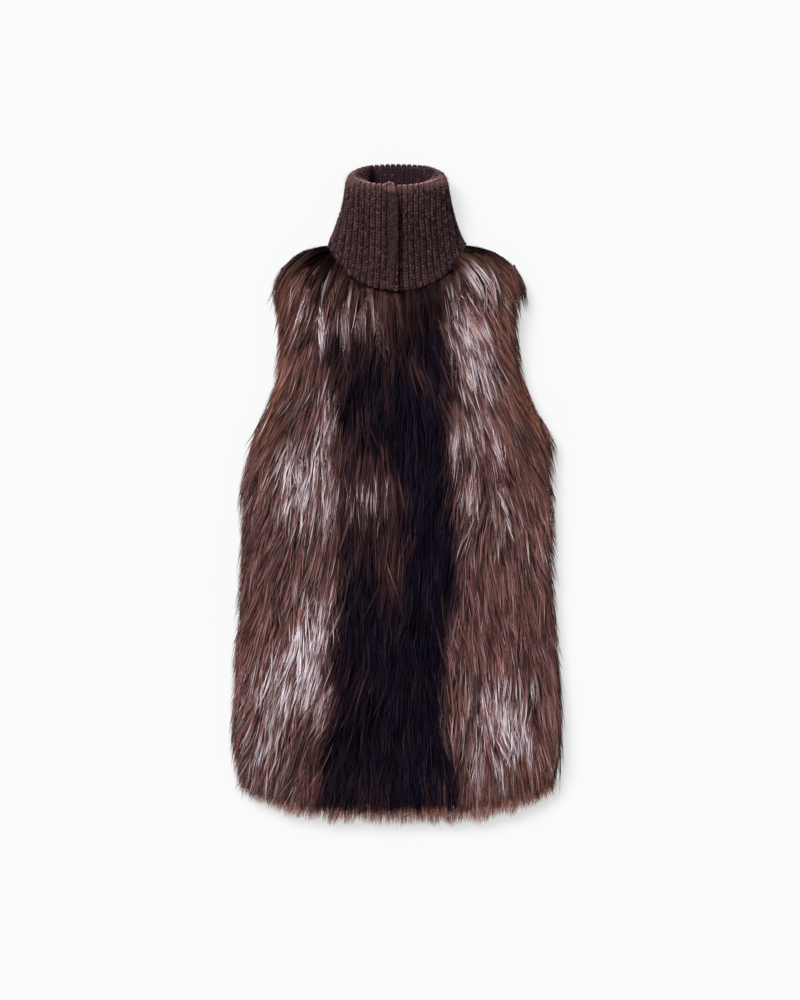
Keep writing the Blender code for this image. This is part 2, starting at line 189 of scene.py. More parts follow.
class NodeSheet:
    """Adds and links the nodes of one shader node tree."""

    def __init__(self, tree: bpy.types.NodeTree) -> None:
        """Takes the tree to add to."""
        self.tree = tree

    def add(self, kind: str, inputs: dict | None = None, **settings: object) -> bpy.types.Node:
        """Adds a node.

        Args:
            kind: Node type without its ShaderNode prefix.
            inputs: Socket name or number to a constant or to an output socket.
            **settings: The node's own properties.

        Returns:
            The new node.
        """
        node = self.tree.nodes.new(f"ShaderNode{kind}")
        for name, value in settings.items():
            setattr(node, name, value)
        for name, value in (inputs or {}).items():
            self.feed(node.inputs[name], value)
        return node

    def feed(self, socket: Socket, value: object) -> None:
        """Links an output to a socket, or sets the socket's constant.

        Args:
            socket: Input socket of a node.
            value: Output socket, or the constant.
        """
        if isinstance(value, Socket):
            self.tree.links.new(value, socket)
        elif isinstance(value, tuple) and socket.type == "RGBA" and len(value) == 3:
            socket.default_value = (*value, 1.0)
        else:
            socket.default_value = value

    def step(self, value: object, low: float, high: float) -> Socket:
        """Eased step of a value from 0 at low to 1 at high."""
        inputs = {"Value": value, "From Min": low, "From Max": high}
        return self.add("MapRange", inputs, interpolation_type="SMOOTHSTEP").outputs["Result"]

    def span(self, value: object, low: float, high: float) -> Socket:
        """A value from 0 to 1, spread from low to high."""
        return self.add("MapRange", {"Value": value, "To Min": low, "To Max": high}).outputs["Result"]

    def maths(self, operation: str, *values: object) -> Socket:
        """One sum on two or three values."""
        return self.add("Math", dict(enumerate(values)), operation=operation).outputs[0]

    def times(self, first: object, second: object) -> Socket:
        """Product of two values."""
        return self.maths("MULTIPLY", first, second)

    def bump(self, height: object, strength: float, distance: float) -> Socket:
        """Normal of a bump with a height, a strength and a depth."""
        inputs = {"Height": height, "Strength": strength, "Distance": distance}
        return self.add("Bump", inputs).outputs["Normal"]

    def blend(self, share: object, first: object, second: object, way: str = "MIX") -> Socket:
        """Mix of two colours, by a share of the second and one of Blender's ways to blend."""
        inputs = {"Factor": share, 6: first, 7: second}
        return self.add("Mix", inputs, data_type="RGBA", blend_type=way).outputs[2]

    def attribute(self, name: str) -> Socket:
        """The value of a mesh attribute."""
        return self.add("Attribute", attribute_name=name).outputs["Fac"]

    def noise(self, scale: object, detail: float) -> Socket:
        """Noise value at a scale, in the object's own coordinates."""
        place = self.add("TexCoord").outputs["Object"]
        return self.add("TexNoise", {"Vector": place, "Scale": scale, "Detail": detail}).outputs["Fac"]


def new_group(name: str, inputs: dict[str, str], outputs: dict[str, str]) -> tuple[NodeSheet, dict, dict]:
    """Starts a shader node group.

    Args:
        name: The group's name.
        inputs: Input name to socket type, Color or Float.
        outputs: Output name to socket type.

    Returns:
        The sheet of its tree, its inputs by name, and its output sockets by name.
    """
    tree = bpy.data.node_groups.new(name, "ShaderNodeTree")
    for way, sockets in (("INPUT", inputs), ("OUTPUT", outputs)):
        for socket, kind in sockets.items():
            tree.interface.new_socket(socket, in_out=way, socket_type=f"NodeSocket{kind}")
    sheet = NodeSheet(tree)
    start = tree.nodes.new("NodeGroupInput")
    end = tree.nodes.new("NodeGroupOutput")
    return sheet, {k: start.outputs[k] for k in inputs}, {k: end.inputs[k] for k in outputs}


class HairTintGroup:
    """Node group that colours hair from root to tip by the values that each strand carries."""

    COLOURS = ("Root", "Body", "Tip", "Dark Root", "Dark Body", "Dark Tip", "Rust", "Pale", "Frost")

    def __init__(self) -> None:
        """Builds the group's nodes."""
        inputs = {name: "Color" for name in self.COLOURS}
        self.sheet, given, made = new_group("hair_tint", inputs, {"Colour": "Color", "Gloss": "Float"})
        sheet = self.sheet
        along = sheet.attribute("along")
        # Darker roots from the shaded patches: darker hair at the crests, and painted shade beside the
        # collar.
        shade = sheet.times(sheet.attribute("shade"), sheet.step(along, 0.90, 0.48))
        darkness = sheet.maths("MAXIMUM", sheet.attribute("dark"), shade)
        brown = self.shaded(along, given["Root"], given["Body"], given["Tip"])
        dark = self.shaded(along, given["Dark Root"], given["Dark Body"], given["Dark Tip"])
        hair = sheet.blend(darkness, brown, dark)
        rusty = sheet.times(sheet.attribute("rust"), sheet.step(along, 0.04, 0.40))
        rusty = sheet.times(rusty, sheet.span(shade, 1.0, 0.1))
        hair = sheet.blend(rusty, hair, given["Rust"])
        # The tone multiplies the colour: random tone with painted light and shade.
        hair = sheet.blend(1.0, hair, sheet.attribute("tone"), "MULTIPLY")
        # Frosted tips and painted highlights pale the middle of the strand.
        band = sheet.times(sheet.step(along, 0.32, 0.70), sheet.step(along, 1.32, 0.84))
        frosted = sheet.times(sheet.attribute("frost"), band)
        lit = sheet.blend(frosted, given["Pale"], given["Frost"])
        sheet.feed(made["Colour"], sheet.blend(frosted, hair, lit))
        sheen = sheet.span(darkness, 0.09, 0.01)
        sheet.feed(made["Gloss"], sheet.maths("MULTIPLY_ADD", frosted, 0.25, sheen))

    def shaded(self, along: object, root: object, body: object, tip: object) -> Socket:
        """Colour from root over body to tip."""
        lower = self.sheet.blend(self.sheet.step(along, 0.0, 0.34), root, body)
        return self.sheet.blend(self.sheet.step(along, 0.55, 1.0), lower, tip)


class YarnGroup:
    """Node group of a hairy heather yarn: mottled colour, paler where napped and where light is painted,
    darker where shade is painted, and its fibres' height.
    """

    def __init__(self) -> None:
        """Builds the group's nodes."""
        inputs = {"Yarn": "Color", "Pale": "Color", "Fibre Scale": "Float"}
        self.sheet, given, made = new_group("heather_yarn", inputs, {"Colour": "Color", "Height": "Float"})
        sheet = self.sheet
        fibres = sheet.noise(given["Fibre Scale"], 3.0)
        flecked = sheet.span(sheet.noise(150.0, 2.0), 0.0, 0.54)
        fleck = sheet.times(sheet.step(fibres, 0.48, 0.74), flecked)
        pale = sheet.maths("ADD", fleck, sheet.attribute("nap"))
        colour = sheet.blend(sheet.maths("MINIMUM", pale, 1.0), given["Yarn"], given["Pale"])
        sheet.feed(made["Colour"], colour)
        sheet.feed(made["Height"], fibres)


@dataclass(frozen=True)
class HairFinish:
    """Finish of one kind of hair: its colours, and the depth of its bump."""

    name: str
    root: Colour = shown(26, 14, 17)
    body: Colour = shown(106, 72, 70)
    tip: Colour = shown(124, 88, 84)
    dark_root: Colour = shown(6, 5, 11)
    dark_body: Colour = shown(19, 15, 30)
    dark_tip: Colour = shown(28, 22, 37)
    rust: Colour = shown(124, 80, 65)
    # Pale and frost colours: frosted hair tips and painted highlights.
    pale: Colour = shown(190, 150, 152)
    frost: Colour = shown(255, 243, 252)
    bump: float = 0.0

    def material(self, group: HairTintGroup) -> Material:
        """The finish as a material.

        Args:
            group: Node group that tints hair.

        Returns:
            The new material.
        """
        constants = {"Roughness": 0.55, "Specular IOR Level": 0.02}
        material, sheet, shader = new_material(self.name, constants)
        tint = sheet.add("Group", node_tree=group.sheet.tree)
        for socket in HairTintGroup.COLOURS:
            sheet.feed(tint.inputs[socket], getattr(self, socket.lower().replace(" ", "_")))
        sheet.feed(shader.inputs["Base Color"], tint.outputs["Colour"])
        if self.bump:
            sheet.feed(shader.inputs["Normal"], sheet.bump(sheet.noise(900.0, 3.0), self.bump, 0.002))
        else:
            sheet.feed(shader.inputs["Coat Weight"], tint.outputs["Gloss"])
            shader.inputs["Coat Roughness"].default_value = 0.30
        return material


@dataclass(frozen=True)
class YarnFinish:
    """Finish of a knit: its yarn colours, fibre scale and bump."""

    name: str
    yarn: Colour = shown(46, 28, 35)
    pale: Colour = shown(178, 136, 133)
    fibre_scale: float = 1400.0
    bump: float = 0.5

    def material(self, group: YarnGroup) -> Material:
        """The finish as a material.

        Args:
            group: Node group of the yarn.

        Returns:
            The new material.
        """
        constants = {"Roughness": 0.85, "Specular IOR Level": 0.03}
        constants |= {"Sheen Weight": 0.03, "Sheen Roughness": 0.5}
        material, sheet, shader = new_material(self.name, constants)
        values = {"Yarn": self.yarn, "Pale": self.pale, "Fibre Scale": self.fibre_scale}
        yarn = sheet.add("Group", values, node_tree=group.sheet.tree)
        sheet.feed(shader.inputs["Base Color"], yarn.outputs["Colour"])
        sheet.feed(shader.inputs["Normal"], sheet.bump(yarn.outputs["Height"], self.bump, 0.0008))
        return material


def new_material(name: str, constants: dict) -> tuple[Material, NodeSheet, bpy.types.Node]:
    """Starts a material.

    Args:
        name: The material's name.
        constants: Socket name of the shader to the value that it keeps.

    Returns:
        The material, the sheet of its tree, and its Principled shader.
    """
    material = bpy.data.materials.new(name)
    material.use_nodes = True
    shader = material.node_tree.nodes["Principled BSDF"]
    for socket, value in constants.items():
        shader.inputs[socket].default_value = value
    return material, NodeSheet(material.node_tree), shader


def mesh_piece(name: str, points: Array, quads: Array, triangles: Array | None = None) -> Piece:
    """Makes a smooth-shaded mesh object from arrays.

    Args:
        name: The piece's name.
        points: Vertices, n by 3.
        quads: Four vertex numbers for each face.
        triangles: Three vertex numbers for each further face.

    Returns:
        The new object, linked to the scene.
    """
    triangles = np.zeros((0, 3), int) if triangles is None else triangles
    corners = np.concatenate([quads.ravel(), triangles.ravel()]).astype(np.int32)
    starts = np.arange(len(quads)) * 4
    starts = np.concatenate([starts, len(quads) * 4 + np.arange(len(triangles)) * 3]).astype(np.int32)
    data = bpy.data.meshes.new(name)
    data.vertices.add(len(points))
    data.vertices.foreach_set("co", points.astype(np.float32).ravel())
    data.loops.add(len(corners))
    data.loops.foreach_set("vertex_index", corners)
    data.polygons.add(len(starts))
    data.polygons.foreach_set("loop_start", starts)
    data.update(calc_edges=True)
    data.validate()
    data.shade_smooth()
    piece = bpy.data.objects.new(name, data)
    bpy.context.scene.collection.objects.link(piece)
    return piece


def give_values(piece: Piece, values: dict[str, Array]) -> None:
    """Writes attributes of a piece's vertices.

    Args:
        piece: The piece.
        values: Attribute name to a value for each vertex.
    """
    for name, numbers in values.items():
        made = piece.data.attributes.new(name, "FLOAT", "POINT")
        made.data.foreach_set("value", np.asarray(numbers, np.float32).ravel())


def cell_map(piece: Piece, rows: int, across: Array, along: Array) -> None:
    """Gives a piece of many like bits a UV map with a small cell for each bit.

    Args:
        piece: The piece.
        rows: Rows of cells.
        across: Place across its cell of each vertex of a bit, from 0 to 1.
        along: Place along its cell of each vertex of a bit, from 0 to 1.
    """
    count = len(piece.data.vertices) // len(across)
    columns = -(-count // rows)
    number = np.arange(count)[:, None]
    u = (number % columns + across) / columns
    v = (number // columns + along) / rows
    places = np.stack([u, v], axis=-1).reshape(-1, 2)
    corners = np.zeros(len(piece.data.loops), np.int32)
    piece.data.loops.foreach_get("vertex_index", corners)
    layer = piece.data.uv_layers.new(name=UV_MAP)
    layer.data.foreach_set("uv", places[corners].astype(np.float32).ravel())


def slab_piece(name: str, over: Array, under: Array) -> Piece:
    """Makes a closed slab between two grids of points.

    Args:
        name: The piece's name.
        over: Points of its outer face, rows by columns by 3.
        under: Points of its inner face, as many.

    Returns:
        The new object, with the outer face's vertices first.
    """
    rows, columns = over.shape[:2]
    points = np.stack([over, under]).reshape(-1, 3)
    over, under = np.arange(len(points)).reshape(2, rows, columns)
    strips = (
        (over[:-1, :-1], over[:-1, 1:], over[1:, 1:], over[1:, :-1]),
        (under[:-1, :-1], under[1:, :-1], under[1:, 1:], under[:-1, 1:]),
        (over[-1, :-1], over[-1, 1:], under[-1, 1:], under[-1, :-1]),
        (over[0, :-1], under[0, :-1], under[0, 1:], over[0, 1:]),
        (over[:-1, 0], over[1:, 0], under[1:, 0], under[:-1, 0]),
        (over[:-1, -1], under[:-1, -1], under[1:, -1], over[1:, -1]),
    )
    quads = [np.stack([corner.ravel() for corner in strip], axis=1) for strip in strips]
    return mesh_piece(name, points, np.concatenate(quads))


def set_piece(piece: Piece, material: Material) -> Piece:
    """Gives a piece its material and its body, and reports it.

    Args:
        piece: The piece.
        material: Its finish.

    Returns:
        The piece.
    """
    piece.data.materials.clear()
    piece.data.materials.append(material)
    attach(piece, BODY)
    LOG.info("%s: %d triangles", piece.name, len(piece.data.loops) - 2 * len(piece.data.polygons))
    return piece


@dataclass(frozen=True)
class StrandForm:
    """Form of one kind of hair: stations along it, and its share of the full width at each."""

    CELL_LONG: ClassVar[float] = 8.0
    CELL_SIDES: ClassVar[Span] = (0.2, 0.8)
    CELL_START: ClassVar[float] = 0.06

    stations: tuple[float, ...]
    widths: tuple[float, ...]

    def piece(self, name: str, paths: Array, width: Array, roll: Array, values: dict[str, Array]) -> Piece:
        """Makes one mesh of many strands, each a thin tapered blade shaded along its length.

        Args:
            name: The piece's name.
            paths: Points of each strand at the stations and the tip: n by stations + 1 by 3.
            width: Full width of each strand.
            roll: Turn of each strand about its own line, in radians.
            values: Attribute name to one number a strand; start is where its shading along begins.

        Returns:
            The new object.
        """
        count, rings = len(paths), len(self.stations)
        along = unit(np.gradient(paths, axis=1))[:, :rings]
        across = unit(np.cross(along, np.array([0.0, 0.0, 1.0])))
        above = np.cross(across, along)
        turn = roll[:, None, None]
        level = across * np.cos(turn) + above * np.sin(turn)
        half = 0.5 * width[:, None, None] * np.array(self.widths)[None, :, None]
        middle = paths[:, :rings]
        ring = np.stack([middle - level * half, middle + level * half], axis=2)
        each = 2 * rings + 1
        points = np.concatenate([ring.reshape(count, 2 * rings, 3), paths[:, rings:]], axis=1)
        low = 2 * np.arange(rings - 1)
        quads = np.stack([low, low + 1, low + 3, low + 2], axis=-1)
        tips = np.array([[each - 3, each - 2, each - 1]])
        first = each * np.arange(count)[:, None, None]
        quads, tips = (quads + first).reshape(-1, 4), (tips + first).reshape(-1, 3)
        made = mesh_piece(name, points.reshape(-1, 3), quads, tips)
        shares = np.append(np.repeat(self.stations, 2), 1.0)
        carried = {key: np.repeat(numbers, each) for key, numbers in values.items()}
        start = carried.pop("start", 0.0)
        give_values(made, {"along": between(start, 1.0, np.tile(shares, count)), **carried})
        rows = max(1, int(math.sqrt(count / self.CELL_LONG)))
        sides = np.append(np.tile(self.CELL_SIDES, rings), 0.5)
        cell_map(made, rows, sides, between(self.CELL_START, 1.0 - self.CELL_START, shares))
        return made


class PileMap:
    """Heights of fur panels' upper faces, and how far each spot lies in from their outline."""

    STEP = 0.002
    MARGIN = 0.040
    ABOVE = 0.5
    FALL_REACH = 0.026
    FALL_POWER = 1.4
    LAST_CELL = 1.001

    def __init__(self, nodes: list[str]) -> None:
        """Casts rays down on the nodes' solids.

        Args:
            nodes: Names of the fur panels.
        """
        trees = [solid_tree(name) for name in nodes]
        boxes = [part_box(name) for name in nodes]
        low = np.min([box[0] for box in boxes], axis=0)[:2] - self.MARGIN
        high = np.max([box[1] for box in boxes], axis=0)[:2] + self.MARGIN
        self.low = low
        self.x = np.arange(low[0], high[0], self.STEP)
        self.y = np.arange(low[1], high[1], self.STEP)
        heights = np.full((len(self.x), len(self.y)), -1.0)
        for i, x in enumerate(self.x):
            for j, y in enumerate(self.y):
                for tree in trees:
                    hit = tree.ray_cast(Vector((x, y, self.ABOVE)), DOWN)[0]
                    if hit is not None:
                        heights[i, j] = max(heights[i, j], hit.z)
        across = np.minimum(np.roll(heights, 1, 0), np.roll(heights, -1, 0))
        heights = np.where((heights < 0) & (across > 0), across, heights)
        self.heights, self.insets = self.spread(heights)

    def spread(self, heights: Array) -> tuple[Array, Array]:
        """Lets the heights fall off outside the outline.

        Args:
            heights: Height at each spot of the grid, below 0 outside.

        Returns:
            The heights everywhere, and the distance in from the outline, below 0 outside.
        """
        inside = heights > 0
        enclosed = inside.copy()
        for step, axis in ((1, 0), (-1, 0), (1, 1), (-1, 1)):
            enclosed &= np.roll(inside, step, axis)
        rim = np.argwhere(inside & ~enclosed)
        tree = flat_tree(np.stack([self.x[rim[:, 0]], self.y[rim[:, 1]]], axis=1))
        insets = np.zeros_like(heights)
        filled = heights.copy()
        for i, x in enumerate(self.x):
            for j, y in enumerate(self.y):
                _, number, distance = tree.find((x, y, 0.0))
                insets[i, j] = distance if inside[i, j] else -distance
                if not inside[i, j]:
                    fall = min(distance / self.FALL_REACH, 1.0)
                    filled[i, j] = heights[tuple(rim[number])] * (1.0 - fall**self.FALL_POWER)
        return filled, insets

    def read(self, grid: Array, spots: Array) -> Array:
        """Value of one of the map's grids at spots.

        Args:
            grid: Heights or insets.
            spots: The spots, with their places across and along on the last axis.

        Returns:
            The grid's value at each spot.
        """
        u = np.clip((spots[..., 0] - self.low[0]) / self.STEP, 0, len(self.x) - self.LAST_CELL)
        v = np.clip((spots[..., 1] - self.low[1]) / self.STEP, 0, len(self.y) - self.LAST_CELL)
        i, j = u.astype(int), v.astype(int)
        return bilinear(grid, i, j, u - i, v - j)

    def spots(self, spacing: float, least: float, draw: np.random.Generator) -> Array:
        """Jittered even spots inside the outline.

        Args:
            spacing: Mean distance between them.
            least: How far in from the outline they lie at least.
            draw: Seeded draws.

        Returns:
            The spots, n by 2.
        """
        x = np.arange(self.low[0], self.x[-1], spacing)
        y = np.arange(self.low[1], self.y[-1], spacing)
        spots = np.stack([grid.ravel() for grid in np.meshgrid(x, y)], axis=1)
        spots += draw.uniform(-0.5, 0.5, spots.shape) * spacing
        return spots[self.inset(spots) > least]

    def height(self, spots: Array) -> Array:
        """Height of the panels' upper face."""
        return self.read(self.heights, spots)

    def inset(self, spots: Array) -> Array:
        """Distance in from the outline, below 0 outside."""
        return self.read(self.insets, spots)


def weld(data: bpy.types.Mesh) -> None:
    """Joins vertices that lie on each other.

    Args:
        data: The mesh to change.
    """
    mesh = bmesh.new()
    mesh.from_mesh(data)
    bmesh.ops.remove_doubles(mesh, verts=mesh.verts, dist=1e-6)
    mesh.to_mesh(data)
    mesh.free()


def solid_tree(node: str) -> BVHTree:
    """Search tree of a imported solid's faces."""
    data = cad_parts[node].data
    return BVHTree.FromPolygons([v.co for v in data.vertices], [tuple(p.vertices) for p in data.polygons])


class Comb(NamedTuple):
    """One stroke of the comb: a spot, and the hair's turn there from straight down towards +X."""

    place: str
    x: float
    y: float
    turn: float
    reach: float = 0.042


@dataclass(frozen=True)
class CombedFlow:
    """Direction in which the hair lies, from strokes of the comb."""

    strokes: tuple[Comb, ...] = (
        Comb("right crest", -0.110, 0.354, -84.0, 0.022),
        Comb("right shoulder slope", -0.134, 0.342, -60.0, 0.022),
        Comb("right shoulder fall", -0.158, 0.320, -36.0, 0.022),
        Comb("right shoulder tip", -0.174, 0.292, -6.0, 0.026),
        Comb("right inner shoulder", -0.115, 0.325, -48.0, 0.018),
        Comb("right shoulder", -0.132, 0.300, -22.0, 0.024),
        Comb("right breast", -0.140, 0.250, -14.0),
        Comb("right neck", -0.075, 0.277, -8.0),
        Comb("right armhole", -0.160, 0.200, -21.0),
        Comb("right low armhole", -0.165, 0.140, -20.0),
        Comb("right chest", -0.089, 0.163, -6.0),
        Comb("right underarm", -0.203, 0.085, -32.0),
        Comb("right ribs", -0.139, 0.035, -11.0),
        Comb("right inner ribs", -0.068, 0.035, -4.0),
        Comb("right waist side", -0.213, -0.060, -15.0),
        Comb("right waist", -0.139, -0.121, -14.0),
        Comb("right inner waist", -0.070, -0.140, -3.0),
        Comb("right hip side", -0.220, -0.263, -17.0),
        Comb("right hip", -0.139, -0.263, -17.0),
        Comb("right hem side", -0.210, -0.412, -18.0),
        Comb("right hem", -0.124, -0.433, -12.0),
        Comb("middle top", 0.003, 0.262, 0.0),
        Comb("middle ribs", 0.003, 0.035, 0.0),
        Comb("middle waist", 0.006, -0.149, -1.0),
        Comb("middle hem", 0.020, -0.433, 0.0),
        Comb("left crest", 0.112, 0.354, 84.0, 0.022),
        Comb("left shoulder slope", 0.138, 0.341, 60.0, 0.022),
        Comb("left shoulder fall", 0.163, 0.319, 38.0, 0.022),
        Comb("left shoulder tip", 0.180, 0.290, 10.0, 0.026),
        Comb("left inner shoulder", 0.118, 0.325, 50.0, 0.018),
        Comb("left shoulder", 0.136, 0.300, 30.0, 0.024),
        Comb("left breast", 0.140, 0.250, 22.0),
        Comb("left neck", 0.078, 0.277, 10.0),
        Comb("left armhole", 0.160, 0.200, 26.0),
        Comb("left low armhole", 0.175, 0.140, 24.0),
        Comb("left chest", 0.100, 0.163, 14.0),
        Comb("left underarm", 0.209, 0.078, 26.0),
        Comb("left ribs", 0.152, 0.045, 23.0),
        Comb("left inner ribs", 0.090, 0.020, -10.0),
        Comb("left waist side", 0.213, -0.060, 20.0),
        Comb("left waist", 0.150, -0.100, 9.0),
        Comb("left inner waist", 0.095, -0.090, -6.0),
        Comb("left hip side", 0.219, -0.250, 14.0),
        Comb("left hip", 0.145, -0.263, 3.0),
        Comb("left hem side", 0.213, -0.390, 9.0),
        Comb("left hem", 0.131, -0.425, -2.0),
    )

    def turn(self, spots: Array) -> Array:
        """The hair's turn from straight down at spots.

        Args:
            spots: The spots, n by 2.

        Returns:
            Turns in radians, towards +X.
        """
        x, y = spots.T
        total = np.zeros_like(x)
        weights = np.full_like(x, TINY)
        for stroke in self.strokes:
            near = np.exp(-((x - stroke.x) ** 2 + (y - stroke.y) ** 2) / stroke.reach**2)
            total += near * math.radians(stroke.turn)
            weights += near
        return total / weights


class Patch(NamedTuple):
    """A patch of the coat: its middle, half sizes, lean from +Y towards -X, and strength."""

    place: str
    x: float
    y: float
    half_wide: float
    half_long: float
    lean: float
    strength: float


class Sway(NamedTuple):
    """One wave of noise over the coat: its size, its spacing, how much longer it is along, and its start."""

    size: float
    spacing: float
    stretch: float
    start: float


class StripeStation(NamedTuple):
    """Edges of the dark stripe at a height."""

    y: float
    right: float
    left: float


@dataclass(frozen=True)
class CoatPattern:
    """Colours over the fronts: a dark stripe down the middle, rusty patches, silvered patches that are
    frosted tips and painted highlights, darker crests with painted shade beside the collar, and the painted
    light and shade of the pile's waves.
    """

    stripe_edge: float = 0.013
    stripe_top: float = 0.276
    stripe_top_step: float = 0.020
    stripe_top_fade: float = 0.026
    opening_edges: Span = (-0.012, 0.010)
    hem_y: float = -0.448
    fringe_high: float = 0.016
    fringe_rust: float = 0.20
    blotch: Sway = Sway(0.24, 0.020, 1.3, 3.0)
    blotch_edges: Span = (0.028, 0.004)
    blotch_heights: Span = (-0.190, -0.100)
    sways_across: tuple[Sway, ...] = (Sway(0.006, 0.022, 1.8, 0.0), Sway(0.003, 0.008, 2.5, 5.0))
    sways_along: tuple[Sway, ...] = (Sway(0.012, 0.020, 1.0, 9.0),)
    patch_power: float = 1.3
    stripe: tuple[StripeStation, ...] = (
        StripeStation(0.300, 0.010, 0.040),
        StripeStation(0.277, 0.003, 0.058),
        StripeStation(0.238, -0.014, 0.080),
        StripeStation(0.220, -0.082, 0.074),
        StripeStation(0.206, -0.110, 0.076),
        StripeStation(0.163, -0.106, 0.084),
        StripeStation(0.120, -0.095, 0.080),
        StripeStation(0.078, -0.078, 0.074),
        StripeStation(-0.007, -0.084, 0.077),
        StripeStation(-0.093, -0.083, 0.087),
        StripeStation(-0.164, -0.087, 0.084),
        StripeStation(-0.228, -0.097, 0.074),
        StripeStation(-0.270, -0.101, 0.071),
        StripeStation(-0.310, -0.096, 0.066),
        StripeStation(-0.355, -0.108, 0.076),
        StripeStation(-0.419, -0.114, 0.094),
    )
    # Silvered patches: frosted tips and painted highlights where the pile catches the light.
    frosted: tuple[Patch, ...] = (
        Patch("right hip", -0.125, -0.215, 0.032, 0.085, -14.0, 0.84),
        Patch("right ribs", -0.138, 0.012, 0.046, 0.055, -10.0, 0.72),
        Patch("right skirt", -0.180, -0.280, 0.045, 0.065, -16.0, 0.55),
        Patch("right breast", -0.080, 0.236, 0.040, 0.014, -6.0, 0.42),
        Patch("right hem", -0.186, -0.372, 0.036, 0.045, -14.0, 0.28),
        Patch("right chest", -0.108, 0.112, 0.022, 0.045, -6.0, 0.40),
        Patch("left breast", 0.108, 0.200, 0.028, 0.062, 16.0, 0.76),
        Patch("left ribs", 0.105, 0.080, 0.035, 0.070, 14.0, 0.40),
        Patch("left waist", 0.158, -0.060, 0.050, 0.070, 8.0, 0.16),
        Patch("left inner waist", 0.100, 0.000, 0.020, 0.050, 0.0, 0.35),
        Patch("left skirt", 0.150, -0.335, 0.055, 0.075, 4.0, 0.68),
        Patch("left shoulder", 0.132, 0.285, 0.034, 0.034, 40.0, 0.45),
        Patch("right shoulder", -0.140, 0.275, 0.030, 0.030, -30.0, 0.32),
        Patch("silver in the stripe", -0.042, -0.010, 0.040, 0.020, 0.0, 0.84),
        Patch("silver slate", -0.068, 0.190, 0.022, 0.035, 0.0, 0.22),
    )
    rusty: tuple[Patch, ...] = (
        Patch("right shoulder", -0.165, 0.300, 0.040, 0.045, -35.0, 0.55),
        Patch("left shoulder", 0.165, 0.300, 0.045, 0.050, 35.0, 0.50),
        Patch("right underarm", -0.200, 0.100, 0.026, 0.060, -25.0, 0.70),
        Patch("left underarm", 0.200, 0.120, 0.026, 0.060, 25.0, 0.60),
        Patch("right armhole", -0.165, 0.180, 0.025, 0.080, -10.0, 0.40),
        Patch("left armhole", 0.172, 0.190, 0.025, 0.080, 10.0, 0.50),
        Patch("right neckline", -0.060, 0.288, 0.046, 0.026, 20.0, 0.70),
        Patch("left neckline", 0.030, 0.290, 0.050, 0.010, -15.0, 0.50),
        Patch("rust in the stripe", -0.052, 0.045, 0.022, 0.030, 0.0, 0.22),
        Patch("rust by the opening", 0.030, 0.175, 0.016, 0.018, 0.0, 0.50),
        Patch("rust by the slit", -0.012, -0.100, 0.016, 0.060, 0.0, 0.34),
        Patch("right hem", -0.175, -0.440, 0.050, 0.016, 0.0, 0.45),
        Patch("left hem", 0.190, -0.420, 0.050, 0.030, 20.0, 0.55),
    )
    # Darker hair at the shoulder crests, and painted shade in the clefts and corners beside the collar.
    shaded: tuple[Patch, ...] = (
        Patch("right crest", -0.130, 0.341, 0.040, 0.013, 35.0, 0.92),
        Patch("left crest", 0.128, 0.347, 0.036, 0.009, -35.0, 0.80),
        Patch("right corner of the neck", -0.106, 0.347, 0.024, 0.014, 20.0, 0.90),
        Patch("left corner of the neck", 0.102, 0.349, 0.022, 0.012, -20.0, 0.80),
        Patch("cleft right of the collar", -0.107, 0.312, 0.011, 0.036, -26.0, 0.95),
        Patch("cleft left of the collar", 0.088, 0.322, 0.010, 0.026, 30.0, 0.60),
    )
    # Painted light and shade of the pile's waves: lighter where the pile faces the light, darker in its
    # hollows and folds.
    waves: tuple[Patch, ...] = (
        Patch("hollow right of the neck", -0.108, 0.316, 0.022, 0.032, 0.0, -0.90),
        Patch("hollow left of the neck", 0.076, 0.328, 0.030, 0.024, 0.0, -0.70),
        Patch("right neckline", -0.064, 0.272, 0.036, 0.022, 20.0, -0.50),
        Patch("left neckline", 0.067, 0.270, 0.020, 0.030, -20.0, -0.50),
        Patch("left breast", 0.131, 0.228, 0.035, 0.038, 20.0, 0.35),
        Patch("right shoulder", -0.160, 0.300, 0.045, 0.040, -35.0, 0.15),
        Patch("left shoulder", 0.160, 0.300, 0.045, 0.045, 35.0, 0.12),
        Patch("right ribs", -0.132, 0.004, 0.046, 0.030, 0.0, 0.20),
        Patch("right waist", -0.132, -0.080, 0.052, 0.022, 0.0, -0.32),
        Patch("right hip", -0.146, -0.228, 0.042, 0.050, 0.0, 0.25),
        Patch("right skirt", -0.196, -0.290, 0.030, 0.045, 0.0, 0.35),
        Patch("right hem", -0.126, -0.376, 0.042, 0.034, 0.0, -0.62),
        Patch("left underarm", 0.188, 0.085, 0.022, 0.032, 0.0, -0.32),
        Patch("left hip", 0.174, -0.206, 0.042, 0.036, 0.0, -0.42),
    )

    def sum_of(self, patches: tuple[Patch, ...], spots: Array) -> Array:
        """Strength of patches at spots.

        Args:
            patches: The patches.
            spots: The spots, n by 2.

        Returns:
            Their strengths together, at most 1.
        """
        x, y = spots.T
        total = np.zeros_like(x)
        for patch in patches:
            lean = math.radians(patch.lean)
            across = (x - patch.x) * math.cos(lean) + (y - patch.y) * math.sin(lean)
            along = (y - patch.y) * math.cos(lean) - (x - patch.x) * math.sin(lean)
            spread = (across / patch.half_wide) ** 2 + (along / patch.half_long) ** 2
            total += patch.strength * np.exp(-(spread**self.patch_power))
        return np.minimum(total, 1.0)

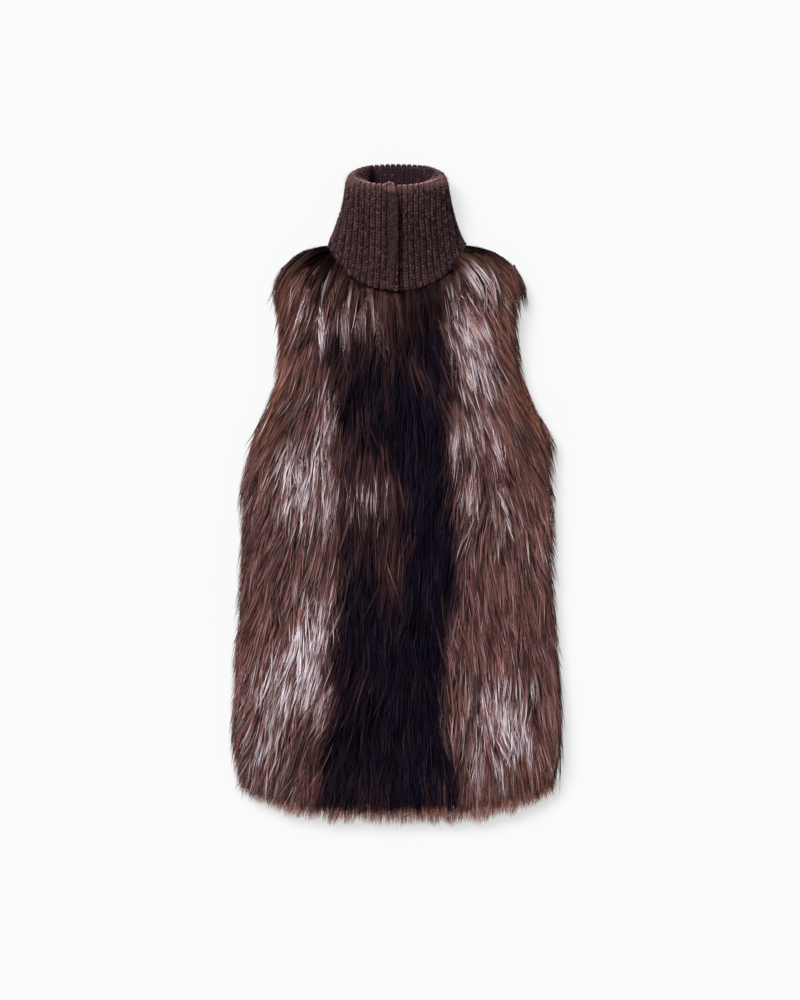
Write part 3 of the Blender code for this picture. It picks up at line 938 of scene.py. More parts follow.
    def values(self, spots: Array, mottle: Mottle) -> dict[str, Array]:
        """What hair at spots carries.

        Args:
            spots: The spots, n by 2.
            mottle: Noise that breaks the patches' edges.

        Returns:
            Attribute name to values: dark, rust and frost from 0 to 1, the last for frosted tips and painted
                highlights, and the tone that multiplies colours, with the painted light and shade of the
                pile's waves.
        """
        x, y = spots.T
        swayed = spots.copy()
        for axis, sways in enumerate((self.sways_across, self.sways_along)):
            for sway in sways:
                swayed[:, axis] += sway.size * mottle.at(x + sway.start, y, sway.spacing, sway.stretch)
        sway_x, sway_y = swayed.T
        rows = sorted(self.stripe)
        heights = [row.y for row in rows]
        right = np.interp(sway_y, heights, [row.right for row in rows])
        left = np.interp(sway_y, heights, [row.left for row in rows])
        inside = np.minimum(sway_x - right, left - sway_x)
        top = self.stripe_top + self.stripe_top_step * ease(sway_x, *self.opening_edges)
        dark = ease(inside, -self.stripe_edge, self.stripe_edge)
        dark = dark * ease(top - sway_y, 0.0, self.stripe_top_fade)
        rust = self.sum_of(self.rusty, swayed)
        frost = self.sum_of(self.frosted, swayed)
        fringe = ease(sway_y, self.hem_y + self.fringe_high, self.hem_y)
        rust = np.maximum(rust, self.fringe_rust * fringe)
        size, spacing, stretch, start = self.blotch
        blotch = ease(mottle.at(x + start, y, spacing, stretch), 0.12, 0.70)
        blotch = size * blotch * ease(sway_x, *self.blotch_edges)
        rust = np.maximum(rust, blotch * dark * (0.12 + 0.88 * ease(sway_y, *self.blotch_heights)))
        dark = dark * (1.0 - 0.75 * rust) * (1.0 - 0.70 * frost)
        dark = dark * (1.0 - 0.12 * fringe)
        # Painted light and shade of the pile's waves, as a multiplier of the hair's colour.
        light = np.exp(self.sum_of(self.waves, swayed))
        return {"dark": dark, "rust": rust * (1.0 - 0.35 * dark), "frost": frost, "tone": light}


class Lock(NamedTuple):
    """A lock that stands out: its root and tip over the plane, half width, and what its hair carries."""

    place: str
    x: float
    y: float
    tip_x: float
    tip_y: float
    wide: float
    frost: float = 0.0
    rust: float = 0.0


# Locks that stand out; their frost values are frosted tips and painted highlights where the light catches
# them.
LOCKS = (
    Lock("right breast", -0.1070, 0.280, -0.1068, 0.211, 0.0035, 1.00),
    Lock("right breast inner", -0.078, 0.275, -0.0735, 0.210, 0.005, 0.60),
    Lock("right of the neck", -0.040, 0.274, -0.052, 0.224, 0.007, 0.40),
    Lock("right of the opening", -0.030, 0.262, -0.018, 0.208, 0.007, 0.30),
    Lock("right shoulder", -0.126, 0.302, -0.147, 0.234, 0.004, 0.95),
    Lock("right shoulder tuft", -0.146, 0.322, -0.171, 0.262, 0.008, 0.05, 0.70),
    Lock("left shoulder lock", 0.150, 0.322, 0.179, 0.258, 0.008, 0.10, 0.70),
    Lock("left shoulder inner", 0.122, 0.326, 0.158, 0.266, 0.005, 0.75, 0.30),
    Lock("left breast high", 0.090, 0.292, 0.113, 0.220, 0.005, 0.95),
    Lock("left breast", 0.086, 0.245, 0.110, 0.154, 0.010, 1.00),
    Lock("left breast outer", 0.104, 0.250, 0.134, 0.156, 0.008, 0.90),
    Lock("right ribs first", -0.150, 0.086, -0.163, 0.002, 0.009, 1.00),
    Lock("right ribs second", -0.133, 0.076, -0.139, -0.008, 0.005, 0.90),
    Lock("right ribs third", -0.116, 0.083, -0.119, 0.016, 0.004, 0.95),
    Lock("right ribs fourth", -0.114, 0.034, -0.126, -0.058, 0.006, 0.75),
    Lock("right ribs fifth", -0.092, 0.042, -0.105, -0.066, 0.012, 0.75),
    Lock("right chest", -0.088, 0.150, -0.096, 0.076, 0.012, 0.70),
    Lock("right hip upper", -0.090, -0.120, -0.114, -0.222, 0.010, 1.00),
    Lock("right hip lower", -0.112, -0.186, -0.131, -0.304, 0.010, 1.00),
    Lock("right hip inner", -0.094, -0.242, -0.112, -0.320, 0.014, 0.70),
    Lock("right skirt", -0.150, -0.200, -0.180, -0.312, 0.016, 0.60),
    Lock("left ribs edge", 0.078, 0.142, 0.077, 0.034, 0.007, 0.75),
    Lock("left chest", 0.128, 0.122, 0.149, 0.040, 0.008, 0.85),
    Lock("left waist", 0.141, 0.032, 0.157, -0.030, 0.004, 0.95),
    Lock("left inner waist", 0.099, 0.048, 0.101, -0.030, 0.008, 0.65),
    Lock("left skirt first", 0.152, -0.250, 0.154, -0.328, 0.007, 0.95),
    Lock("left skirt second", 0.134, -0.270, 0.135, -0.338, 0.006, 0.75),
    Lock("left skirt outer", 0.180, -0.290, 0.187, -0.380, 0.009, 0.75),
    Lock("left skirt low", 0.121, -0.326, 0.117, -0.428, 0.008, 0.70),
)


class Clump(NamedTuple):
    """One size of clump that the hair gathers in: how its clumps differ, and how far they draw hair in."""

    name: str
    spacing: float
    turn: float
    pull: float
    tone: float
    lift: float
    roll: float


class Gathered(NamedTuple):
    """All clumps of one size: their middles, each strand's clump number, and the clumps' turns."""

    clump: Clump
    middles: Array
    number: Array
    turn: Array

    def shared(self, draw: np.random.Generator, share: float) -> Array:
        """Even draws from 0 to 1 for the strands, a share of each drawn for its whole clump."""
        whole = draw.random(len(self.middles))[self.number]
        return share * whole + (1.0 - share) * draw.random(len(self.number))


@dataclass
class FurCoat:
    """Guard hair of both fronts, over their woolly pelts."""

    pile: PileMap
    tube: "CollarTube"
    flow: CombedFlow
    coat: CoatPattern
    form: StrandForm = StrandForm((0.0, 0.26, 0.52, 0.78), (0.70, 1.0, 0.92, 0.60))
    clumps: tuple[Clump, ...] = (
        Clump("lock", 0.0260, 0.11, 0.26, 0.12, 0.0014, 0.30),
        Clump("tuft", 0.0088, 0.09, 0.46, 0.26, 0.0012, 0.50),
        Clump("wisp", 0.0040, 0.04, 0.80, 0.56, 0.0010, 0.30),
    )
    spacing: float = 0.00206
    length: float = 0.068
    width: float = 0.00072
    wisp_lengths: Span = (0.86, 1.12)
    strand_lengths: Span = (0.84, 1.08)
    edge_insets: Span = (0.036, 0.004)
    edge_heights: Span = (0.235, 0.270)
    edge_short: float = 0.22
    stray_turn: float = 0.035
    seen_part: Span = (0.30, 0.85)
    scatter: float = 0.0035
    browned_edges: Span = (-0.012, 0.008)
    browned_half: Span = (0.086, 0.070)
    tone_spread: float = 0.38
    roll_spread: float = 0.25
    wisp_wave: float = 0.0014
    own_wave: float = 0.0005
    root_depth: float = 0.010
    face_sink: float = 0.0010
    floor_scatter: float = 0.0030
    lift_insets: Span = (-0.012, 0.010)
    loft: float = 0.0080
    mean_layer: float = 0.62
    frost_lift: float = 0.0018
    held_reach: Span = (2.2, 0.9)
    pull_power: float = 1.4
    dome: float = 0.10
    short: Span = (0.0065, 0.0100)
    past_spread: float = 0.0026
    least_inset: float = 0.003
    hang: float = 0.0075
    shoulder_trim: float = 0.0052
    trim_heights: Span = (0.16, 0.22)
    hem_hang: float = 0.0070
    hang_heights: Span = (-0.41, -0.43)
    trim: float = 0.86
    middle_x: float = -0.004
    corner_from: Span = (0.170, 0.215)
    hem_heights: Span = (-0.36, -0.40)
    hem_short: float = 0.0145
    corner_long: float = 0.0050
    shoulder_long: float = 0.0050
    shoulder_heights: Span = (0.305, 0.335)
    stray_share: float = 0.04
    stray_heights: Span = (0.20, 0.10)
    stray_past: Span = (0.004, 0.014)
    fringe_strands: int = 3600
    fringe_span: Span = (-0.230, 0.226)
    fringe_heights: Span = (-0.480, -0.400)
    fringe_step: float = 0.001
    fringe_wave: float = 0.0045
    fringe_spacing: float = 0.010
    fringe_ragged: Span = (-0.0045, 0.0110)
    fringe_lift: Span = (-0.003, 0.001)
    fringe_lengths: Span = (0.020, 0.034)
    fringe_depth: float = 0.004
    neck_strands: int = 4200
    neck_half: float = 0.102
    neck_rows: Span = (-0.010, 0.0025)
    ruff_strands: int = 900
    ruff_span: Span = (0.076, 0.101)
    ruff_rows: Span = (-0.004, 0.009)
    highest_root: float = 0.3545
    collar_span: Span = (0.074, 0.104)
    collar_from: float = 0.310
    collar_clear: float = 0.0020
    lock_strands: int = 130
    lock_roots: Span = (-0.10, 0.50)
    lock_tips: Span = (-0.012, 0.018)
    lock_bow: float = 0.0030
    strand_bow: float = 0.0016
    lock_lift: float = 0.0036
    lock_lift_spread: float = 0.0014
    lock_depth: float = 0.006
    lock_inset: float = 0.006
    lock_wave: float = 0.0010
    pieces_a_side: int = 2
    seed: int = 41
    mottle: Mottle = field(default_factory=lambda: Mottle(7))

    def __post_init__(self) -> None:
        """Starts the seeded draws."""
        self.draw = np.random.default_rng(self.seed)
        self.marks = np.append(self.form.stations, 1.0)
        self.share = self.marks[None, :, None]
        self.collar = solid_tree("collar")

    def neck_spots(self) -> Array:
        """Spots close along the neckline, just under the collar's edge, and in a ruff at its sides.

        Returns:
            The spots, n by 2.
        """
        draw = self.draw
        x = draw.uniform(-self.neck_half, self.neck_half, self.neck_strands)
        y = self.tube.neckline(x) + draw.uniform(*self.neck_rows, self.neck_strands)
        ruff_x = draw.uniform(*self.ruff_span, self.ruff_strands)
        ruff_x = ruff_x * draw.choice((-1.0, 1.0), self.ruff_strands)
        ruff_y = self.tube.neckline(ruff_x) + draw.uniform(*self.ruff_rows, self.ruff_strands)
        spots = np.concatenate([np.stack([x, y], axis=1), np.stack([ruff_x, ruff_y], axis=1)])
        return spots[spots[:, 1] < self.highest_root]

    def nearest(self, spots: Array, middles: Array) -> Array:
        """Number of the nearest middle to each spot."""
        tree = flat_tree(middles)
        return np.array([tree.find((x, y, 0.0))[1] for x, y in spots])

    def lie(self, roots: Array, length: Array, turn: Array) -> Array:
        """Paths over the plane that follow the combed flow.

        Args:
            roots: Where the strands start, n by 2.
            length: Their lengths.
            turn: Turn of each away from the flow, in radians.

        Returns:
            Points at the form's stations and at the tip, n by stations + 1 by 2.
        """
        spot = roots.copy()
        path = [spot]
        for step in np.diff(self.marks):
            way = downward(self.flow.turn(spot) + turn)
            spot = spot + way * (length * step)[:, None]
            path.append(spot)
        return np.stack(path, axis=1)

    def gather(self, roots: Array) -> list[Gathered]:
        """Draws the clumps of each size.

        Args:
            roots: Where the strands start, n by 2.

        Returns:
            The clumps, largest first.
        """
        made: list[Gathered] = []
        for clump in self.clumps:
            middles = self.pile.spots(clump.spacing, 0.0, self.draw)
            turn = self.draw.normal(0.0, clump.turn, len(middles))
            if made:
                turn = turn + made[-1].turn[self.nearest(middles, made[-1].middles)]
            made.append(Gathered(clump, middles, self.nearest(roots, middles), turn))
        return made

    def strands(self) -> dict[str, Array]:
        """Lays out the hair of the whole coat.

        Returns:
            Arrays of the strands: paths, width, roll, and the values they carry.
        """
        draw = self.draw
        roots = np.concatenate([self.pile.spots(self.spacing, 0.0, draw), self.neck_spots()])
        gathered = self.gather(roots)
        wisps = gathered[-1]
        wisp, count = wisps.number, len(roots)
        near = self.edge_nearness(roots)
        length = self.length * draw.uniform(*self.wisp_lengths, len(wisps.middles))[wisp]
        length = length * draw.uniform(*self.strand_lengths, count)
        length = length * (1.0 - self.edge_short * near)
        turn = wisps.turn[wisp] + draw.normal(0.0, self.stray_turn, count)
        roots, length = self.drawn_in(roots, length, turn, self.tips_past(roots))
        path = self.lie(roots, length, turn)
        layer = wisps.shared(draw, 0.68)
        path, lift, tone, roll = self.clumped(path, self.loft * (layer - self.mean_layer), gathered)
        path = path + self.curl(path, draw.normal(0.0, self.wisp_wave, len(wisps.middles))[wisp])
        path = self.trimmed(path)
        values = self.coloured(path, roots[:, 0], near, wisps)
        # Tone: random, times the painted light and shade of the pile's waves; lower layers are darker as
        # painted shade between the strands, and hair near the neckline and shoulder line is darker.
        tone = np.exp(tone * (1.0 - 0.60 * values["dark"]) * (1.0 - 0.35 * near)) * values["tone"]
        tone = tone * (0.05 + 1.39 * layer**1.36) ** (1.0 - 0.40 * near) * (1.0 - 0.56 * near)
        values["tone"] = np.clip(tone, 0.15, 2.3)
        lift = lift + self.frost_lift * values["frost"]
        return {
            "paths": self.raised(path, lift, self.root_depth * (1.0 - 0.9 * near)),
            "width": self.width * draw.uniform(0.65, 1.20, count) * (1.0 + 0.65 * values["frost"]),
            "roll": roll,
            "start": 0.26 * near,
            **values,
        }

    def tips_past(self, roots: Array) -> Array:
        """How far tips may lie past the outline: less at the hem, more at corners and shoulders, with strays.

        Args:
            roots: Where the strands start, n by 2.

        Returns:
            The distance for each strand, below 0 where its tip stays inside.
        """
        draw, count = self.draw, len(roots)
        x, y = roots[:, 0], roots[:, 1]
        past = draw.normal(0.0, self.past_spread, count) - np.where(x < 0.0, self.short[0], self.short[1])
        corner = ease(np.abs(x - self.middle_x), *self.corner_from)
        low = self.corner_long * corner - self.hem_short * (1.0 - corner)
        past = past + low * ease(y, *self.hem_heights)
        past = past + self.shoulder_long * ease(y, *self.shoulder_heights)
        stray = (draw.random(count) > 1.0 - self.stray_share) * ease(y, *self.stray_heights)
        return past + draw.uniform(*self.stray_past, count) * stray

    def clumped(self, path: Array, lift: Array, gathered: list[Gathered]) -> tuple[Array, ...]:
        """Draws strands in to the middles of their clumps.

        Args:
            path: Points over the plane.
            lift: How far each strand stands off the pile's face.
            gathered: The clumps of each size.

        Returns:
            The new points and lifts, and the tone and roll of each strand.
        """
        draw, count = self.draw, len(path)
        tone, roll = draw.normal(0.0, self.tone_spread, count), draw.normal(0.0, self.roll_spread, count)
        for clump, middles, number, turn in gathered:
            far, close = (times * clump.spacing for times in self.held_reach)
            middle = self.lie(middles, np.full(len(middles), self.length), turn)[number]
            reach = np.linalg.norm(middle[:, :1] - path[:, :1], axis=2, keepdims=True)
            way = unit(path[:, -1] - path[:, 0])
            aside = np.sum((path[:, 0] - middle[:, 0]) * beside(way), axis=1) / (0.5 * clump.spacing)
            roll = roll + clump.roll * np.clip(aside, -1.5, 1.5)
            held = ease(reach, far, close)
            path = path + held * clump.pull * self.share**self.pull_power * (middle - path)
            tone = tone + draw.normal(0.0, clump.tone, len(middles))[number]
            lift = lift + draw.normal(0.0, clump.lift, len(middles))[number]
            lift = lift + self.dome * clump.spacing * (1.0 - aside**2).clip(-1.0, 1.0)
        return path, lift, tone, roll

    def pattern_values(self, path: Array) -> tuple[dict[str, Array], Array]:
        """What the coat's pattern gives strands, by the part of each that shows, a little scattered across.

        Args:
            path: Points over the plane.

        Returns:
            Attribute name to values, and the spots that they are read at.
        """
        spot = between(path[:, 1], path[:, -1], self.draw.uniform(*self.seen_part, (len(path), 1)))
        spot[:, 0] += self.draw.normal(0.0, self.scatter, len(path))
        values = self.coat.values(spot, self.mottle)
        values["shade"] = self.coat.sum_of(self.coat.shaded, path[:, 1])
        return values, spot

    def coloured(self, path: Array, root_x: Array, near: Array, wisps: Gathered) -> dict[str, Array]:
        """What the coat's strands carry: the pattern's values, broken up by strand and by wisp.

        Args:
            path: Points over the plane.
            root_x: Places of the roots across.
            near: How close the roots are to the neckline and shoulder line.
            wisps: The smallest clumps.

        Returns:
            Attribute name to values.
        """
        draw, count = self.draw, len(path)
        values, spot = self.pattern_values(path)
        calm = 1.0 - self.edge_nearness(spot)
        browned = 0.80 - 0.62 * ease(root_x, *self.browned_edges)
        dark = values["dark"] * (1.0 - browned * near * ease(np.abs(root_x), *self.browned_half))
        # Frost and sheen: frosted strands, partly painted highlights, most likely in the silvered patches and
        # away from the edges.
        lucky = wisps.shared(draw, 0.74)
        likely = (0.08 + 0.54 * values["frost"]) * (1.0 - 0.80 * dark) * (0.15 + 0.85 * calm)
        bright = draw.uniform(0.82, 1.0, count) * (0.58 + 0.54 * values["frost"]) * (1.0 - 0.6 * dark)
        values["frost"] = bright * ease(lucky, likely + 0.05, likely - 0.05)
        values["dark"] = dark * np.where(draw.random(count) < 0.10, 0.82, 1.0)
        warm = 0.35 * near + draw.uniform(0.0, 0.22, count)
        values["rust"] = values["rust"] + warm * (1.0 - values["rust"]) * (1.0 - values["dark"])
        return values

    def drawn_in(self, roots: Array, length: Array, turn: Array, past: Array) -> tuple[Array, Array]:
        """Moves roots up, or shortens strands, where tips would lie too far past the outline.

        Args:
            roots: Where the strands start, n by 2.
            length: Their lengths.
            turn: Turn of each away from the flow.
            past: How far each may lie past the outline.

        Returns:
            The new roots and lengths.
        """
        for _ in range(3):
            path = self.lie(roots, length, turn)
            over = np.maximum(-self.pile.inset(path[:, -1]) - past, 0.0)
            moved = roots + (path[:, 0] - path[:, -1]) / length[:, None] * over[:, None]
            fits = self.pile.inset(moved) > self.least_inset
            length = np.where(fits, length, np.maximum(length - over, 0.4 * length))
            roots = np.where(fits[:, None], moved, roots)
        return roots, length

    def trimmed(self, path: Array) -> Array:
        """Paths shortened where their tips hang far past the outline, most of all at the shoulders.

        Args:
            path: Points over the plane.

        Returns:
            The shortened paths.
        """
        for _ in range(5):
            tip = path[:, -1]
            limit = self.hang - self.shoulder_trim * ease(tip[:, 1], *self.trim_heights)
            limit = limit + self.hem_hang * ease(tip[:, 1], *self.hang_heights)
            over = self.pile.inset(tip) < -limit
            path[over] = between(path[over, :1], path[over], self.trim)
        return path

    def raised(self, path: Array, lift: Array, depth: Array) -> Array:
        """Paths over the plane laid on the pile.

        Args:
            path: Points over the plane.
            lift: How far each strand's tip stands off the pile's face.
            depth: How deep its root lies.

        Returns:
            The paths in space.
        """
        x, y = path[..., 0], path[..., 1]
        rise = self.marks[None, :]
        inside = ease(self.pile.inset(path), *self.lift_insets)
        sunk = self.face_sink + depth[:, None] * (1.0 - rise) ** 3.0
        z = self.pile.height(path) - sunk + lift[:, None] * inside
        z = np.maximum(z, FLOOR_CLEARANCE + self.floor_scatter * self.draw.random((len(path), 1)))
        low, high = self.collar_span
        for number, mark in np.argwhere((np.abs(x) > low) & (np.abs(x) < high) & (y > self.collar_from)):
            above = Vector((x[number, mark], y[number, mark], self.pile.ABOVE))
            hit = self.collar.ray_cast(above, DOWN)[0]
            if hit is not None:
                z[number, mark] = max(z[number, mark], hit.z + self.collar_clear)
        return np.concatenate([path, z[..., None]], axis=2)

    def lock_hair(self) -> dict[str, Array]:
        """Lays out the locks that stand out, on top of the coat.

        Returns:
            Arrays of their strands, as for the coat.
        """
        draw = self.draw
        number = np.repeat(np.arange(len(LOCKS)), self.lock_strands)
        count = len(number)
        table = np.array([row[1:] for row in LOCKS])[number]
        root, tip, wide, frost, rust = table[:, 0:2], table[:, 2:4], table[:, 4:5], table[:, 5], table[:, 6]
        way = unit(tip - root)
        across = beside(way)
        spread = np.clip(draw.normal(0.0, 0.6, (count, 1)), -1.1, 1.1) * wide
        root = root + across * spread + way * draw.uniform(*self.lock_roots, (count, 1)) * self.length
        tip = tip + across * spread * 0.55 + way * draw.normal(*self.lock_tips, (count, 1))
        bow = draw.normal(0.0, self.strand_bow, count)
        bow = bow + self.lock_bow * draw.normal(0.0, 1.0, len(LOCKS))[number]
        path = between(root[:, None], tip[:, None], self.share)
        path = path + across[:, None] * bow[:, None, None] * np.sin(np.pi * self.share)
        path = path + self.curl(path, draw.normal(0.0, self.lock_wave, count))
        values, _ = self.pattern_values(path)
        values["frost"] = frost * ease(draw.random(count), 0.34, 0.68)
        values["rust"] = np.maximum(values["rust"], rust * draw.uniform(0.4, 1.0, count))
        values["dark"] = values["dark"] * (1.0 - 0.5 * frost)
        values["tone"] = np.clip(values["tone"] * np.exp(draw.normal(0.0, 0.34, count)), 0.30, 2.2)
        lift = self.lock_lift + draw.normal(0.0, self.lock_lift_spread, count)
        made = {
            "paths": self.raised(path, lift, np.full(count, self.lock_depth)),
            "width": self.width * draw.uniform(0.60, 1.15, count) * (1.0 + 0.50 * values["frost"]),
            "roll": draw.normal(0.0, 0.30, count),
            "start": np.zeros(count),
            **values,
        }
        kept = np.min(self.pile.inset(path), axis=1) > self.lock_inset
        return {name: numbers[kept] for name, numbers in made.items()}

    def hem_fringe(self) -> dict[str, Array]:
        """Lays out the short soft hair that shows along the hem, under the tips of the coat.

        Returns:
            Arrays of its strands, as for the coat.
        """
        draw, count = self.draw, self.fringe_strands
        x = draw.uniform(*self.fringe_span, count)
        low, high = self.fringe_heights
        height = np.linspace(low, high, round((high - low) / self.fringe_step) + 1)
        inside = self.pile.inset(np.stack(np.meshgrid(x, height, indexing="ij"), axis=-1)) > 0.0
        bottom = height[np.argmax(inside, axis=1)]
        ragged = self.fringe_wave * self.mottle.at(x, bottom, self.fringe_spacing)
        ragged = ragged + draw.uniform(*self.fringe_ragged, count)
        tip = np.stack([x, bottom + ragged], axis=1)
        way = downward(self.flow.turn(tip) + draw.normal(0.0, 0.12, count))
        back = -way * draw.uniform(*self.fringe_lengths, count)[:, None]
        path = tip[:, None] + back[:, None] * (1.0 - self.share)
        path = path + self.curl(path, draw.normal(0.0, self.lock_wave, count))
        values = self.coat.values(path[:, 2], self.mottle)
        values["shade"] = np.zeros(count)
        values["frost"] = np.zeros(count)
        values["dark"] = values["dark"] * draw.uniform(0.0, 0.40, count)
        values["rust"] = np.maximum(values["rust"], draw.uniform(0.25, 0.80, count))
        values["tone"] = np.exp(draw.normal(0.74, 0.34, count)) * (1.0 + 0.3 * ease(x, 0.14, 0.20))
        lift = draw.uniform(*self.fringe_lift, count)
        made = {
            "paths": self.raised(path, lift, np.full(count, self.fringe_depth)),
            "width": self.width * draw.uniform(0.40, 0.80, count),
            "roll": draw.normal(0.0, 0.40, count),
            "start": np.full(count, 0.30),
            **values,
        }
        return {name: numbers[bottom > low] for name, numbers in made.items()}

    def edge_nearness(self, roots: Array) -> Array:
        """How close roots are to the neckline and shoulder line: 1 at them, 0 away from them."""
        return ease(self.pile.inset(roots), *self.edge_insets) * ease(roots[:, 1], *self.edge_heights)

    def curl(self, path: Array, size: Array) -> Array:
        """Sideways wave of each strand, which grows towards its tip.

        Args:
            path: Points over the plane.
            size: Size of each strand's wave.

        Returns:
            What is added to the points.
        """
        own = self.draw.normal(0.0, self.own_wave, len(path))
        across = beside(unit(path[:, -1:] - path[:, :1]))
        return across * (size + own)[:, None, None] * self.share * np.sin(1.2 + 4.5 * self.share)

    def build(self, material: Material) -> dict[Side, list[Piece]]:
        """Makes the hair pieces of both fronts.

        Args:
            material: Finish of the hair.

        Returns:
            The pieces of each side.
        """
        sets = [self.strands(), self.lock_hair(), self.hem_fringe()]
        laid = {name: np.concatenate([some[name] for some in sets]) for name in sets[0]}
        roots_x = laid["paths"][:, 0, 0] - opening_x(laid["paths"][:, 0, 1])
        made: dict[Side, list[Piece]] = {}
        for side in Side:
            mine = np.flatnonzero(roots_x * side.value >= 0.0)
            made[side] = []
            for number in range(self.pieces_a_side):
                values = {name: numbers[mine[number :: self.pieces_a_side]] for name, numbers in laid.items()}
                paths, width, roll = (values.pop(name) for name in ("paths", "width", "roll"))
                piece = self.form.piece(f"guard_hair_{side.word}_{number + 1}", paths, width, roll, values)
                made[side].append(set_piece(piece, material))
        return made


def opening_x(y: Array) -> Array:
    """Line of the front opening, from the edges of the two packed fronts."""
    (low, high), (_, right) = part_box("front_left"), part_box("front_right")
    return between(low.x, right.x, ease(y, high.y, low.y))


@dataclass
class Pelt:
    """Woolly pelt of one fur panel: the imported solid's form, sunk below the guard hair and drawn in."""

    node: str
    slot: str
    coat: CoatPattern
    sink: float = 0.0085
    side_share: float = 0.945
    hem_share: float = 0.955
    anchor: Span = (0.0, 0.300)
    lift: float = 0.0
    wool: float = 0.0014
    mottle: Mottle = field(default_factory=lambda: Mottle(19))

    def build(self, material: Material) -> Piece:
        """Makes the pelt.

        Args:
            material: Finish of the wool.

        Returns:
            The new object.
        """
        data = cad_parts[self.node].data.copy()
        data.name = f"pelt_{self.node}"
        piece = bpy.data.objects.new(data.name, data)
        bpy.context.scene.collection.objects.link(piece)
        tree = solid_tree(self.node)
        weld(data)
        for vertex in data.vertices:
            place = vertex.co.copy()
            below = tree.ray_cast(place + 1e-4 * DOWN, DOWN)[0]
            if below is not None and vertex.normal.z > 0.0:
                place.z -= min(self.sink, 0.5 * (place.z - below.z))
            elif self.lift and place.z < self.lift:
                place.z = self.lift
            place.x = between(self.anchor[0], place.x, self.side_share)
            if place.y < self.anchor[1]:
                place.y = between(self.anchor[1], place.y, self.hem_share)
            vertex.co = place
        self.roughen(piece)
        set_piece(piece, material)
        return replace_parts(piece, self.node)

    def roughen(self, piece: Piece) -> None:
        """Divides the mesh and raises woolly furrows in it, with the coat's values at each vertex, and
        painted light on the tufts and painted shade in the furrows.

        Args:
            piece: The pelt.
        """
        divide = piece.modifiers.new("divide", "SUBSURF")
        divide.subdivision_type = "CATMULL_CLARK"
        divide.levels = divide.render_levels = 1
        evaluated = piece.evaluated_get(bpy.context.evaluated_depsgraph_get())
        old = piece.data
        piece.data = bpy.data.meshes.new_from_object(evaluated)
        piece.modifiers.clear()
        bpy.data.meshes.remove(old)
        data = piece.data
        points = np.zeros(len(data.vertices) * 3)
        data.vertices.foreach_get("co", points)
        points = points.reshape(-1, 3)
        normals = np.zeros(len(data.vertices) * 3)
        data.vertices.foreach_get("normal", normals)
        x, y = points[:, 0], points[:, 1]
        tufts = self.mottle.at(x, y, 0.010, 2.5) * ease(normals.reshape(-1, 3)[:, 2], 0.0, 0.3)
        points[:, 2] += self.wool * tufts
        data.vertices.foreach_set("co", points.astype(np.float32).ravel())
        data.shade_smooth()
        values = self.coat.values(points[:, :2], self.mottle)
        values["frost"] = np.zeros(len(x))
        # The wool takes the dark colour of the hair's roots, partly painted shade in the gaps between locks;
        # raised tufts are lighter and furrows darker, as painted light and shade.
        values["along"] = np.full(len(x), 0.06)
        values["tone"] = values["tone"] * (0.9 + 0.5 * tufts)
        give_values(piece, values)


@dataclass
class BackCoat:
    """Hair of the back, pressed flat between its pelt and the surface, and fringed out round its rim."""

    coat: CoatPattern
    node: str = "back"
    form: StrandForm = StrandForm((0.0, 0.35, 0.72), (0.8, 1.0, 0.7))
    spacing: float = 0.0074
    length: float = 0.060
    width: float = 0.0024
    low: float = 0.0006
    high: float = 0.0030
    rim_reach: float = 0.016
    rim_rise: float = 0.004
    inset: float = 0.004
    past: float = -0.016
    seed: int = 23
    mottle: Mottle = field(default_factory=lambda: Mottle(31))

    def build(self, material: Material) -> Piece:
        """Makes the hair.

        Args:
            material: Finish of the hair.

        Returns:
            The new object.
        """
        draw = np.random.default_rng(self.seed)
        below = PileMap([self.node])
        roots = below.spots(self.spacing, self.inset, draw)
        count = len(roots)
        turn = 1.3 * roots[:, 0] + draw.normal(0.0, 0.10, count)
        length = self.length * draw.uniform(0.75, 1.15, count)
        way = downward(turn)
        past = self.past * draw.uniform(0.5, 1.5, count)
        over = np.maximum(-below.inset(roots + way * length[:, None]) - past, 0.0)
        roots = roots - way * over[:, None]
        marks = np.append(self.form.stations, 1.0)[None, :, None]
        path = roots[:, None] + way[:, None] * length[:, None, None] * marks
        edge = ease(below.inset(path), self.rim_reach, 0.0)
        z = draw.uniform(self.low, self.high, (count, 1))
        z = z + self.rim_rise * edge * draw.random((count, 1))
        values = self.coat.values(roots, self.mottle)
        values["frost"] = values["frost"] * (draw.random(count) > 0.7)
        values["tone"] = np.clip(values["tone"] * np.exp(draw.normal(0.0, 0.3, count)), 0.4, 2.0)
        paths = np.concatenate([path, z[..., None]], axis=2)
        width = self.width * draw.uniform(0.7, 1.2, count)
        piece = self.form.piece("back_hair", paths, width, np.full(count, np.pi), values)
        return set_piece(piece, material)


